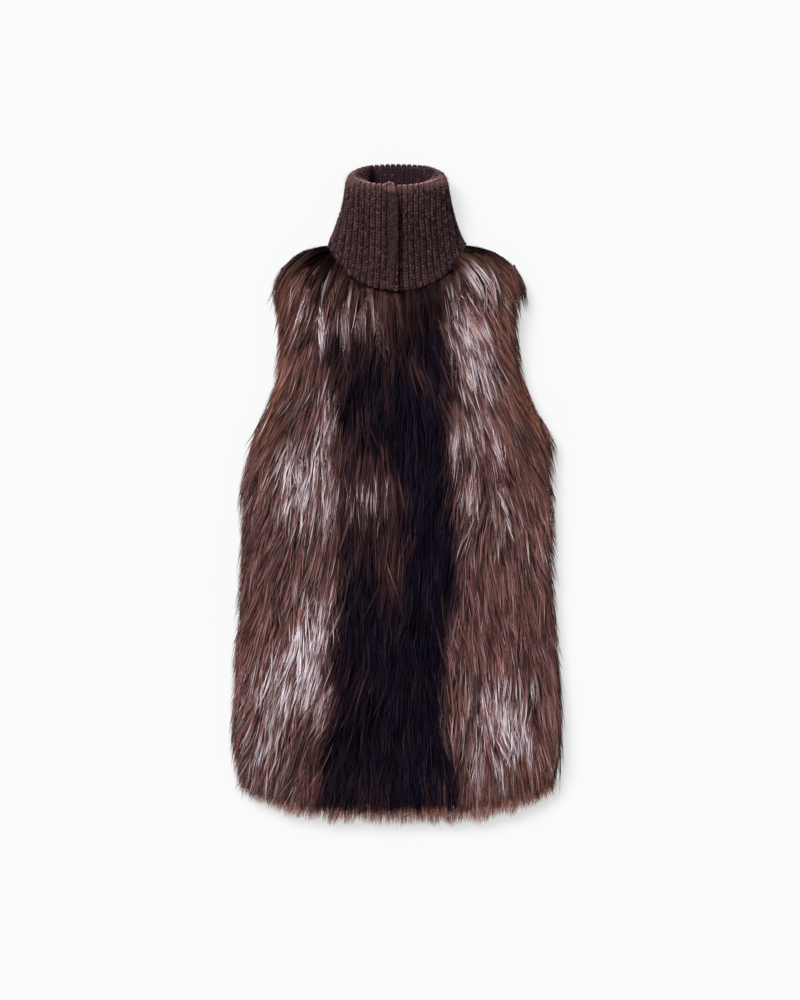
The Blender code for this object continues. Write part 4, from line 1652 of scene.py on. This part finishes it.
@dataclass
class CollarTube:
    """The collar's packed tube: places on it by level, rib, and distance out from its inner face."""

    wall: float = 0.0050
    rib_height: float = 0.0013
    ribs: int = 44
    lap_ribs: float = 2.4
    lap_past_middle: float = 0.4
    lap_clear: float = 0.5
    lap_ease: float = 3.5
    base_half: Span = (0.0935, 0.0130)
    rim_half: Span = (0.0655, 0.0310)
    rim_y: float = 0.4585
    rim_tilt: float = 0.0170
    flare: float = 1.6
    roundness: float = 2.25
    sink: float = 0.0020
    seam_gap: float = 0.0003
    neck_point_y: float = 0.3635
    front_drop: float = 0.0695
    back_drop: float = 0.0260
    neck_half: float = 0.0990
    neck_round: float = 1.8
    rim_round: float = 0.0016
    side_round: float = 0.0058
    side_roll: float = 0.0190
    side_from: float = 0.44
    roll_level: float = 0.55
    round_level: float = 0.84
    corner_level: float = 0.86
    corner_cut: float = 0.75
    corner_ribs: float = 2.2
    corner_lift: float = 0.0040
    corner_peak: float = 1.3
    smile: float = 0.30
    pinch: float = 0.90
    slit: float = 0.0022
    slit_ribs: Span = (4.1, 2.7)
    sway: float = 0.16
    sway_spacing: Span = (2.6, 0.10)
    levels: int = 60
    steps: int = 720

    def __post_init__(self) -> None:
        """Works out the tube's outline at every level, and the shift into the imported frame."""
        turns = np.linspace(0.0, 2.0 * np.pi, self.steps + 1) + 0.5 * np.pi
        shares = np.linspace(0.0, 1.0, self.steps + 1)
        power = 2.0 / self.roundness
        rows = []
        for level in np.linspace(0.0, 1.0, self.levels + 1):
            wide, high = self.half_sizes(level)
            x = wide * np.sign(np.cos(turns)) * np.abs(np.cos(turns)) ** power
            z = high * np.sign(np.sin(turns)) * np.abs(np.sin(turns)) ** power
            run = np.concatenate([[0.0], np.cumsum(np.hypot(np.diff(x), np.diff(z)))])
            rows.append([np.interp(shares, run / run[-1], x), np.interp(shares, run / run[-1], z)])
        self.outlines = np.array(rows)
        self.mottle = Mottle(3)
        low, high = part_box("collar")
        self.shift = np.array([0.5 * (low.x + high.x), high.y - self.rim_y - self.rim_tilt, 0.0])

    def half_sizes(self, level: Array) -> tuple[Array, Array]:
        """Sizes of the tube.

        Args:
            level: Levels.

        Returns:
            The half width and the half height there.
        """
        flared = 1.0 - (1.0 - np.minimum(level, 1.0)) ** self.flare
        wide, high = zip(self.base_half, self.rim_half)
        return between(*wide, flared), between(*high, ease(level, 0.0, 1.0))

    def outline(self, level: Array, rib: Array) -> tuple[Array, Array]:
        """Places on the inner outline.

        Args:
            level: Levels.
            rib: Ribs.

        Returns:
            The places across and up from the tube's middle.
        """
        share = (rib - self.lap_past_middle) / (self.ribs - self.lap_ribs) % 1.0
        u = np.clip(level, 0.0, 1.0) * (self.levels - 1e-6)
        v = share * (self.steps - 1e-6)
        i, j = u.astype(int), v.astype(int)
        x, z = (bilinear(self.outlines[:, axis].T, j, i, v - j, u - i) for axis in (0, 1))
        return x, z

    def neckline(self, x: Array, drop: Array | None = None) -> Array:
        """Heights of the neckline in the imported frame.

        Args:
            x: Places across.
            drop: How far it drops at the middle, or the front's drop if none is given.

        Returns:
            The height at each place.
        """
        drop = self.front_drop if drop is None else drop
        share = np.minimum(np.abs(x - self.shift[0]) / self.neck_half, 1.0)
        dip = (1.0 - share**self.neck_round) ** (1.0 / self.neck_round)
        return self.neck_point_y - drop * dip + self.shift[1]

    def point(self, level: Array, rib: Array, out: Array) -> Array:
        """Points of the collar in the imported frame.

        Args:
            level: From 0 at the neck seam to 1 at the rim.
            rib: Rib counted from the lap's edge.
            out: Distance out from the inner face.

        Returns:
            The points, one row for each.
        """
        level, rib, out = (np.asarray(a, float) for a in np.broadcast_arrays(level, rib, out))
        peak = self.corner_lift * np.exp(-((rib - self.corner_peak) ** 2)) * ease(level, 0.6, 1.0)
        rib = self.cornered(level, rib)
        free = ease(level, 0.0, 0.15) * ease(level, 1.0, 0.85)
        rib = rib + self.sway * self.mottle.at(rib, level, *self.sway_spacing) * free
        x, z = self.outline(level, rib)
        wide, high = self.half_sizes(level)
        reach = np.abs(x) / wide
        slope_x = np.copysign(reach ** (self.roundness - 1.0) / wide, x)
        slope_z = np.copysign((np.abs(z) / high) ** (self.roundness - 1.0) / high, z)
        steep = np.maximum(np.hypot(slope_x, slope_z), TINY)
        lap_end = self.lap_ribs + self.lap_clear
        eased = 1.0 - ease(rib, lap_end, lap_end + self.lap_ease)
        away = out + (self.wall + self.rib_height + self.seam_gap) * eased
        away = away - self.slit * ease(self.ribs - rib, *self.slit_ribs)
        tilt = z / high
        x = x - np.sign(x) * self.pinch * np.maximum(-out, 0.0) * (1.0 - np.minimum(reach, 1.0) ** 4)
        x = x + away * slope_x / steep + self.shift[0]
        z = z + away * slope_z / steep
        seam = self.neckline(x, np.where(tilt >= 0, self.front_drop, self.back_drop)) + self.seam_gap
        dip = self.rim_tilt * tilt * (1.0 - self.smile * reach**2 * (tilt > 0.0))
        rim = self.rim_y - dip + self.shift[1] + peak
        lowest = np.where(out < self.wall, self.wall - out, 0.0)
        z = np.maximum(z + high + self.wall - self.sink, lowest)
        return np.stack([x, between(seam, rim, level), z], axis=-1)

    def cornered(self, level: Array, rib: Array) -> Array:
        """Ribs of the lap drawn in from its edge towards the rim, so that its upper corner is cut."""
        cut = self.corner_cut * rimward(level, self.corner_level) ** 1.2
        return np.where(rib < self.corner_ribs, cut + rib * (1.0 - cut / self.corner_ribs), rib)

    def side_share(self, level: Array, rib: Array) -> Array:
        """How far ribs are round to one of the collar's sides: 0 at the front and back, 1 at a side."""
        x, _ = self.outline(level, rib)
        return ease(np.abs(x) / self.half_sizes(level)[0], self.side_from, 1.0)

    def faces(self, level: Array, rib: Array) -> tuple[Array, Array]:
        """Distance out of the wall's inner face and of the foot of its ribs, with the rim's roll.

        Args:
            level: Levels.
            rib: Ribs.

        Returns:
            The inner face's and the outer face's distance out.
        """
        level, rib = (np.asarray(a, float) for a in np.broadcast_arrays(level, rib))
        side = self.side_share(level, rib)
        past = rimward(level, self.round_level)
        tuck = (self.rim_round + self.side_round * side) * (1.0 - np.sqrt(1.0 - past**2))
        roll = self.side_roll * side * ease(level, self.roll_level, self.round_level)
        return tuck - roll, self.wall - tuck


@dataclass(frozen=True)
class YarnForm:
    """Form of one leg of a stitch: a short tube of yarn, thickest at its middle."""

    sides: int = 5
    swell: tuple[float, ...] = (0.74, 1.0, 0.74)

    def piece(self, name: str, paths: Array, outward: Array, radius: float, nap: Array) -> Piece:
        """Makes one mesh of many legs.

        Args:
            name: The piece's name.
            paths: Points of each leg: its start, the rings and its end, n by rings + 2 by 3.
            outward: A way off the knit for each leg, n by 3.
            radius: Radius of the yarn at its thickest.
            nap: How pale each leg is, from its nap and from painted light and shade.

        Returns:
            The new object.
        """
        count, rings, sides = len(paths), len(self.swell), self.sides
        along = unit(np.gradient(paths, axis=1))[:, 1:-1]
        across = unit(np.cross(along, outward[:, None]))
        above = np.cross(across, along)
        turn = 2.0 * np.pi * np.arange(sides) / sides
        size = radius * np.array(self.swell)[None, :, None, None]
        spoke = across[:, :, None] * np.cos(turn)[:, None] + above[:, :, None] * np.sin(turn)[:, None]
        ring = (paths[:, 1:-1, None] + spoke * size).reshape(count, rings * sides, 3)
        points = np.concatenate([paths[:, :1], ring, paths[:, -1:]], axis=1)
        each = rings * sides + 2
        side = np.arange(sides)
        after = (side + 1) % sides
        quads = []
        for number in range(rings - 1):
            low = 1 + number * sides
            high = low + sides
            quads.append(np.stack([low + side, low + after, high + after, high + side], axis=1))
        last = 1 + (rings - 1) * sides
        start = np.stack([np.zeros(sides, int), 1 + after, 1 + side], axis=1)
        end = np.stack([np.full(sides, each - 1), last + side, last + after], axis=1)
        first = each * np.arange(count)[:, None, None]
        quads = (np.concatenate(quads) + first).reshape(-1, 4)
        ends = (np.concatenate([start, end]) + first).reshape(-1, 3)
        made = mesh_piece(name, points.reshape(-1, 3), quads, ends)
        give_values(made, {"nap": np.repeat(nap, each)})
        cell_across = np.concatenate([[0.5], np.tile(0.5 + 0.35 * np.cos(turn), rings), [0.5]])
        steps = np.repeat(np.linspace(0.25, 0.75, rings), sides)
        cell_along = np.concatenate([[0.1], steps + np.tile(0.06 * np.sin(turn), rings), [0.9]])
        cell_map(made, max(1, int(math.sqrt(count))), cell_across, cell_along)
        return made


def leg_grid(first: Array, second: Array) -> list[Array]:
    """Places of the stitches' legs on two counts, with the leg's side, each as a column."""
    grids = np.meshgrid(first, second, (-1.0, 1.0), indexing="ij")
    return [grid.ravel()[:, None] for grid in grids]


@dataclass
class RibCollar:
    """The rib knit collar: a ribbed wall with a soft rolled rim, rows of stitches on it, and a nap."""

    tube: CollarTube
    columns_a_rib: int = 6
    valley: float = 0.0006
    body_rows: int = 27
    turn_rows: int = 7
    inside_rows: int = 11
    outside_ribs: tuple[int, int] = (0, 42)
    inside_ribs: tuple[int, int] = (3, 41)
    stitch_wide: Span = (0.02, 0.36)
    stitch_radius: float = 0.00128
    stitch_rise: tuple[float, ...] = (-0.0010, 0.0004, 0.0010, 0.0006, -0.0008)
    overlap: float = 1.25
    hairs: int = 9000
    hair_form: StrandForm = StrandForm((0.0, 0.55), (1.0, 0.7))
    hair_length: float = 0.0060
    hair_width: float = 0.00026
    seed: int = 5

    def build(self, material: Material) -> tuple[Piece, list[Piece]]:
        """Makes the collar.

        Args:
            material: Finish of the knit.

        Returns:
            The wall, and the pieces that go with it.
        """
        self.draw = np.random.default_rng(self.seed)
        wall = set_piece(self.wall_piece(), material)
        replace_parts(wall, "collar")
        parts = [
            self.stitches("collar_stitches_outside", True),
            self.stitches("collar_stitches_inside", False),
            self.nap_hair(),
        ]
        return wall, [set_piece(part, material) for part in parts]

    def wall_piece(self) -> Piece:
        """Makes the closed wall under the stitches, with round ribs outside.

        Returns:
            The new object.
        """
        levels = np.concatenate([np.linspace(0.0, 0.80, 13), np.linspace(0.84, 1.0, 9)])
        ribs = np.linspace(0.0, self.tube.ribs, self.tube.ribs * self.columns_a_rib + 1)
        level, rib = np.meshgrid(levels, ribs, indexing="ij")
        inner, outer = self.tube.faces(level, rib)
        crest = 0.5 - 0.5 * np.cos(2.0 * np.pi * rib)
        outer = outer - self.valley + (self.valley + self.tube.rib_height) * crest
        over, under = self.tube.point(level, rib, outer), self.tube.point(level, rib, inner)
        piece = slab_piece("collar_wall", over, under)
        # Paler on the ribs' crests and at the rim, as painted light.
        nap = 0.05 * crest + 0.25 * ease(level, 0.965, 1.0)
        give_values(piece, {"nap": np.stack([nap, nap])})
        return piece

    def stitches(self, name: str, outside: bool) -> Piece:
        """The rows of knit stitches, two legs each, along the ribs of one face.

        Args:
            name: The piece's name.
            outside: Whether they lie on the outer face.

        Returns:
            The new object.
        """
        rim_row = self.body_rows + self.turn_rows
        last_row = rim_row + self.turn_rows + self.inside_rows
        ribs = np.arange(*(self.outside_ribs if outside else self.inside_ribs))
        rows = np.arange(0, rim_row) if outside else np.arange(rim_row, last_row)
        rib, row, leg = leg_grid(ribs, rows)
        mark = np.array(LEG_MARKS)[None]
        row = row + self.draw.normal(0.0, 0.05, (len(rib), 1)) + self.overlap * mark - 0.12
        away = between(*self.stitch_wide, mark)
        place = rib + 0.5 + leg * away + self.draw.normal(0.0, 0.012, (len(rib), 1))
        rise = np.array(self.stitch_rise)[None] + self.draw.normal(0.0, 0.00012, (len(rib), 1))
        paths = self.over_rim(row, place, away, rise)
        paths[..., 2] = np.maximum(paths[..., 2], self.stitch_radius + FLOOR_CLEARANCE)
        middle = len(LEG_MARKS) // 2
        foot = self.over_rim(row, place, away, rise - 0.002)[:, middle]
        edge = np.abs(row[:, middle] - rim_row)
        at_rim = np.ones(rib.size), rib.ravel() + 0.5
        side = self.tube.side_share(*at_rim)
        front = ease(self.tube.outline(*at_rim)[1], -0.012, 0.022)
        # Paler along the front of the rim and over its turn, as painted light, and darker on the inside face,
        # as painted shade, over a random nap.
        rim = (1.0 - 0.7 * side) * (0.15 + 0.85 * front) * ease(edge, 1.5, 0.3)
        rim = rim + 0.14 * ease(edge, 1.1 * self.turn_rows, 2.0)
        nap = (0.06 if outside else -0.18) + 0.08 * self.draw.normal(0.0, 1.0, rib.size) + rim
        kept = (row[:, 0] > 1.2) | (side < 0.75)
        outward = unit(paths[:, middle] - foot)[kept]
        return YarnForm().piece(name, paths[kept], outward, self.stitch_radius, np.clip(nap, -0.3, 1.0)[kept])

    def over_rim(self, row: Array, rib: Array, away: Array, rise: Array) -> Array:
        """Points on the knit by row: up the outer face, over the rolled rim, and down the inner face.

        Args:
            row: Row counted from the neck seam.
            rib: Place across, in ribs.
            away: Distance from the rib's middle, in ribs.
            rise: Distance off the face.

        Returns:
            The points.
        """
        tube = self.tube
        turn = np.clip((row - self.body_rows) / self.turn_rows, 0.0, 2.0) * 0.5 * np.pi
        straight = np.minimum(row, 2 * (self.body_rows + self.turn_rows) - row) / self.body_rows
        level = tube.round_level * np.clip(straight, 0.0, 1.0) + (1.0 - tube.round_level) * np.sin(turn)
        inner, outer = tube.faces(level, rib)
        within = ease(turn, 0.5 * np.pi - 0.25, 0.5 * np.pi + 0.25)
        crest = tube.rib_height * (0.5 + 0.5 * np.cos(2.0 * np.pi * away))
        out = (outer + crest) * (1.0 - within) + inner * within + rise * np.cos(turn)
        return tube.point(level + rise * np.sin(turn) / 0.09, rib, out)

    def nap_hair(self) -> Piece:
        """Makes the short loose fibres that stand off the outer face and the rim.

        Returns:
            The new object.
        """
        draw, count = self.draw, self.hairs
        by_rim = draw.random(count) < 0.30
        level = np.where(by_rim, draw.uniform(0.93, 1.0, count), draw.random(count))
        rib = draw.uniform(0.0, self.tube.ribs - self.tube.lap_ribs, count)
        _, outer = self.tube.faces(level, rib)
        root = self.tube.point(level, rib, outer)
        off = unit(self.tube.point(level, rib, outer + 0.002) - root)
        stray = draw.normal(0.0, 0.55, (count, 3))
        stray = stray + np.array([0.0, 0.45, 0.0]) * ease(level, 0.93, 1.0)[:, None]
        length = self.hair_length * draw.uniform(0.4, 1.2, count)[:, None]
        middle = root + (off + 0.4 * stray) * length * 0.5
        tip = middle + (0.5 * off + stray) * length * 0.5
        paths = np.stack([root, middle, tip], axis=1)
        paths[..., 2] = np.maximum(paths[..., 2], FLOOR_CLEARANCE)
        width = np.full(count, self.hair_width)
        # Fibres paler towards the rim, partly painted light.
        values = {"nap": np.clip(0.35 + 0.5 * ease(level, 0.9, 1.0), 0.0, 1.0)}
        return self.hair_form.piece("collar_nap", paths, width, draw.uniform(-1.5, 1.5, count), values)


@dataclass
class LapBand:
    """The plain fine knit band along the lap's edge, with its upper corner rounded off."""

    tube: CollarTube
    thick: float = 0.0020
    gap: float = 0.0006
    wide: float = 1.75
    neck_wide: float = 1.15
    neck_drift: float = 0.75
    from_edge: float = 0.15
    drift_level: float = 0.55
    lowest: float = 0.015
    highest: float = 0.975
    wales: int = 6
    rows: int = 54
    stitch_radius: float = 0.00062
    stitch_rise: tuple[float, ...] = (-0.0003, 0.0002, 0.0004, 0.0002, -0.0003)
    seed: int = 12

    def edges(self, level: Array) -> tuple[Array, Array]:
        """First rib and width in ribs of the band at levels."""
        low = ease(level, self.drift_level, 0.0)
        return self.from_edge + self.neck_drift * low, between(self.wide, self.neck_wide, low)

    def build(self, material: Material) -> tuple[Piece, Piece]:
        """Makes the band.

        Args:
            material: Finish of the knit.

        Returns:
            The band's slab and its stitches.
        """
        slab = set_piece(self.slab(), material)
        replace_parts(slab, "collar_band")
        return slab, set_piece(self.stitches(), material)

    def slab(self) -> Piece:
        """Makes the closed slab under the stitches, thinner along its edges.

        Returns:
            The new object.
        """
        levels = np.concatenate([np.linspace(self.lowest, 0.86, 25), np.linspace(0.885, self.highest, 9)])
        level, share = np.meshgrid(levels, np.linspace(0.0, 1.0, 9), indexing="ij")
        rib, foot, face = self.lying(level, share)
        over, under = self.tube.point(level, rib, face), self.tube.point(level, rib, foot)
        piece = slab_piece("lap_band", over, under)
        give_values(piece, {"nap": np.zeros(2 * level.size)})
        return piece

    def lying(self, level: Array, share: Array) -> tuple[Array, Array, Array]:
        """Where the band lies on the collar.

        Args:
            level: Levels of the collar.
            share: Shares of the band's width.

        Returns:
            The ribs there, and the distances out of the band's foot and its face.
        """
        first, wide = self.edges(level)
        rib = first + wide * share
        foot = self.tube.faces(level, rib)[1] + self.tube.rib_height + self.gap
        swell = 0.45 + 0.55 * np.sqrt(np.clip(1.0 - (2.0 * share - 1.0) ** 4, 0.0, 1.0))
        return rib, foot, foot + self.thick * swell

    def stitches(self) -> Piece:
        """Makes the fine plain stitches over the band, two legs each.

        Returns:
            The new object.
        """
        draw = np.random.default_rng(self.seed)
        wale, row, leg = leg_grid(np.arange(self.wales), np.arange(self.rows))
        mark = np.array(LEG_MARKS)[None]
        step = (self.highest - self.lowest) / self.rows
        level = np.clip(self.lowest + (row + 1.35 * mark - 0.2) * step, self.lowest, self.highest)
        share = (wale + 0.5 + leg * (0.08 + 0.36 * mark)) / self.wales
        rib, foot, face = self.lying(level, share)
        paths = self.tube.point(level, rib, face + np.array(self.stitch_rise)[None])
        middle = len(LEG_MARKS) // 2
        base = self.tube.point(level[:, middle], rib[:, middle], foot[:, middle] - self.thick)
        # Paler towards the rim, partly painted light, over a random nap.
        nap = 0.04 + draw.normal(0.0, 0.10, len(wale)) + 0.4 * ease(level[:, middle], 0.9, 0.965)
        outward = unit(paths[:, middle] - base)
        name = "lap_band_stitches"
        return YarnForm(sides=4).piece(name, paths, outward, self.stitch_radius, np.clip(nap, 0.0, 1.0))


@dataclass
class Studio:
    """Pale floor, soft light from the upper left, and a camera straight above."""

    middle: Span = (0.0033, -0.0074)
    frame_long: float = 1.42
    focus_height: float = 0.03
    lens: float = 180.0
    sensor: float = 36.0
    floor_half: float = 6.0
    floor_glow: float = 0.635
    backdrop_strength: float = 0.14
    key_toward: tuple[float, float, float] = (-0.52, 0.70, 1.05)
    key_spread: float = 34.0
    key_strength: float = 3.85

    def build(self) -> None:
        """Makes the floor, lights, surroundings and camera."""
        self.floor()
        self.lights()
        self.camera()

    def floor(self) -> None:
        """The surface that the vest lies on: a pale sheet, softly lit from below."""
        h = self.floor_half
        points = np.array([[-h, -h, 0.0], [h, -h, 0.0], [h, h, 0.0], [-h, h, 0.0]])
        floor = mesh_piece("floor", points, np.array([[0, 1, 2, 3]]))
        constants = {"Roughness": 0.9, "Specular IOR Level": 0.1}
        constants |= {"Emission Color": WHITE, "Emission Strength": self.floor_glow}
        material, sheet, shader = new_material("pale_floor", constants)
        mottled = sheet.blend(sheet.noise(3.0, 2.0), (0.295, 0.295, 0.297), (0.305, 0.305, 0.305))
        sheet.feed(shader.inputs["Base Color"], mottled)
        floor.data.materials.append(material)

    def lights(self) -> None:
        """A broad, even light from far away at the upper left, over even surroundings."""
        world = bpy.data.worlds.new("studio")
        bpy.context.scene.world = world
        world.use_nodes = True
        backdrop = world.node_tree.nodes["Background"]
        backdrop.inputs["Color"].default_value = WHITE
        backdrop.inputs["Strength"].default_value = self.backdrop_strength
        light = bpy.data.lights.new("key", "SUN")
        light.angle = math.radians(self.key_spread)
        light.energy = self.key_strength
        holder = bpy.data.objects.new("key", light)
        holder.location = self.key_toward
        holder.rotation_euler = (-Vector(self.key_toward)).to_track_quat("-Z", "Y").to_euler()
        bpy.context.scene.collection.objects.link(holder)

    def camera(self) -> None:
        """The camera, looking straight down with the collar at the top."""
        data = bpy.data.cameras.new("camera")
        data.lens = self.lens
        data.sensor_width = self.sensor
        holder = bpy.data.objects.new("camera", data)
        distance = self.frame_long * self.lens / self.sensor
        holder.location = (*self.middle, self.focus_height + distance)
        bpy.context.scene.collection.objects.link(holder)
        bpy.context.scene.camera = holder
        bpy.context.scene.view_settings.view_transform = "Standard"


def main() -> None:
    """Builds the vest's looks, piece by piece."""
    logging.basicConfig(level=logging.INFO, format="%(message)s")
    Studio().build()
    tint, yarn = HairTintGroup(), YarnGroup()
    hair = HairFinish("guard_hair").material(tint)
    wool = HairFinish("under_wool", bump=0.8).material(tint)
    rib_knit = YarnFinish("rib_knit").material(yarn)
    fine_knit = YarnFinish("fine_knit", fibre_scale=1900.0).material(yarn)
    coat, tube = CoatPattern(), CollarTube()
    pile = PileMap(["front_right", "front_left"])
    guard = FurCoat(pile, tube, CombedFlow(), coat).build(hair)
    for side in Side:
        pelt = Pelt(f"front_{side.word}", "front_fur", coat).build(wool)
    back = Pelt("back", "back_fur", coat, sink=0.002, lift=0.002).build(wool)
    BackCoat(coat).build(hair)
    wall, knit = RibCollar(tube).build(rib_knit)
    slab, stitches = LapBand(tube).build(fine_knit)


if __name__ == "__main__":
    main()
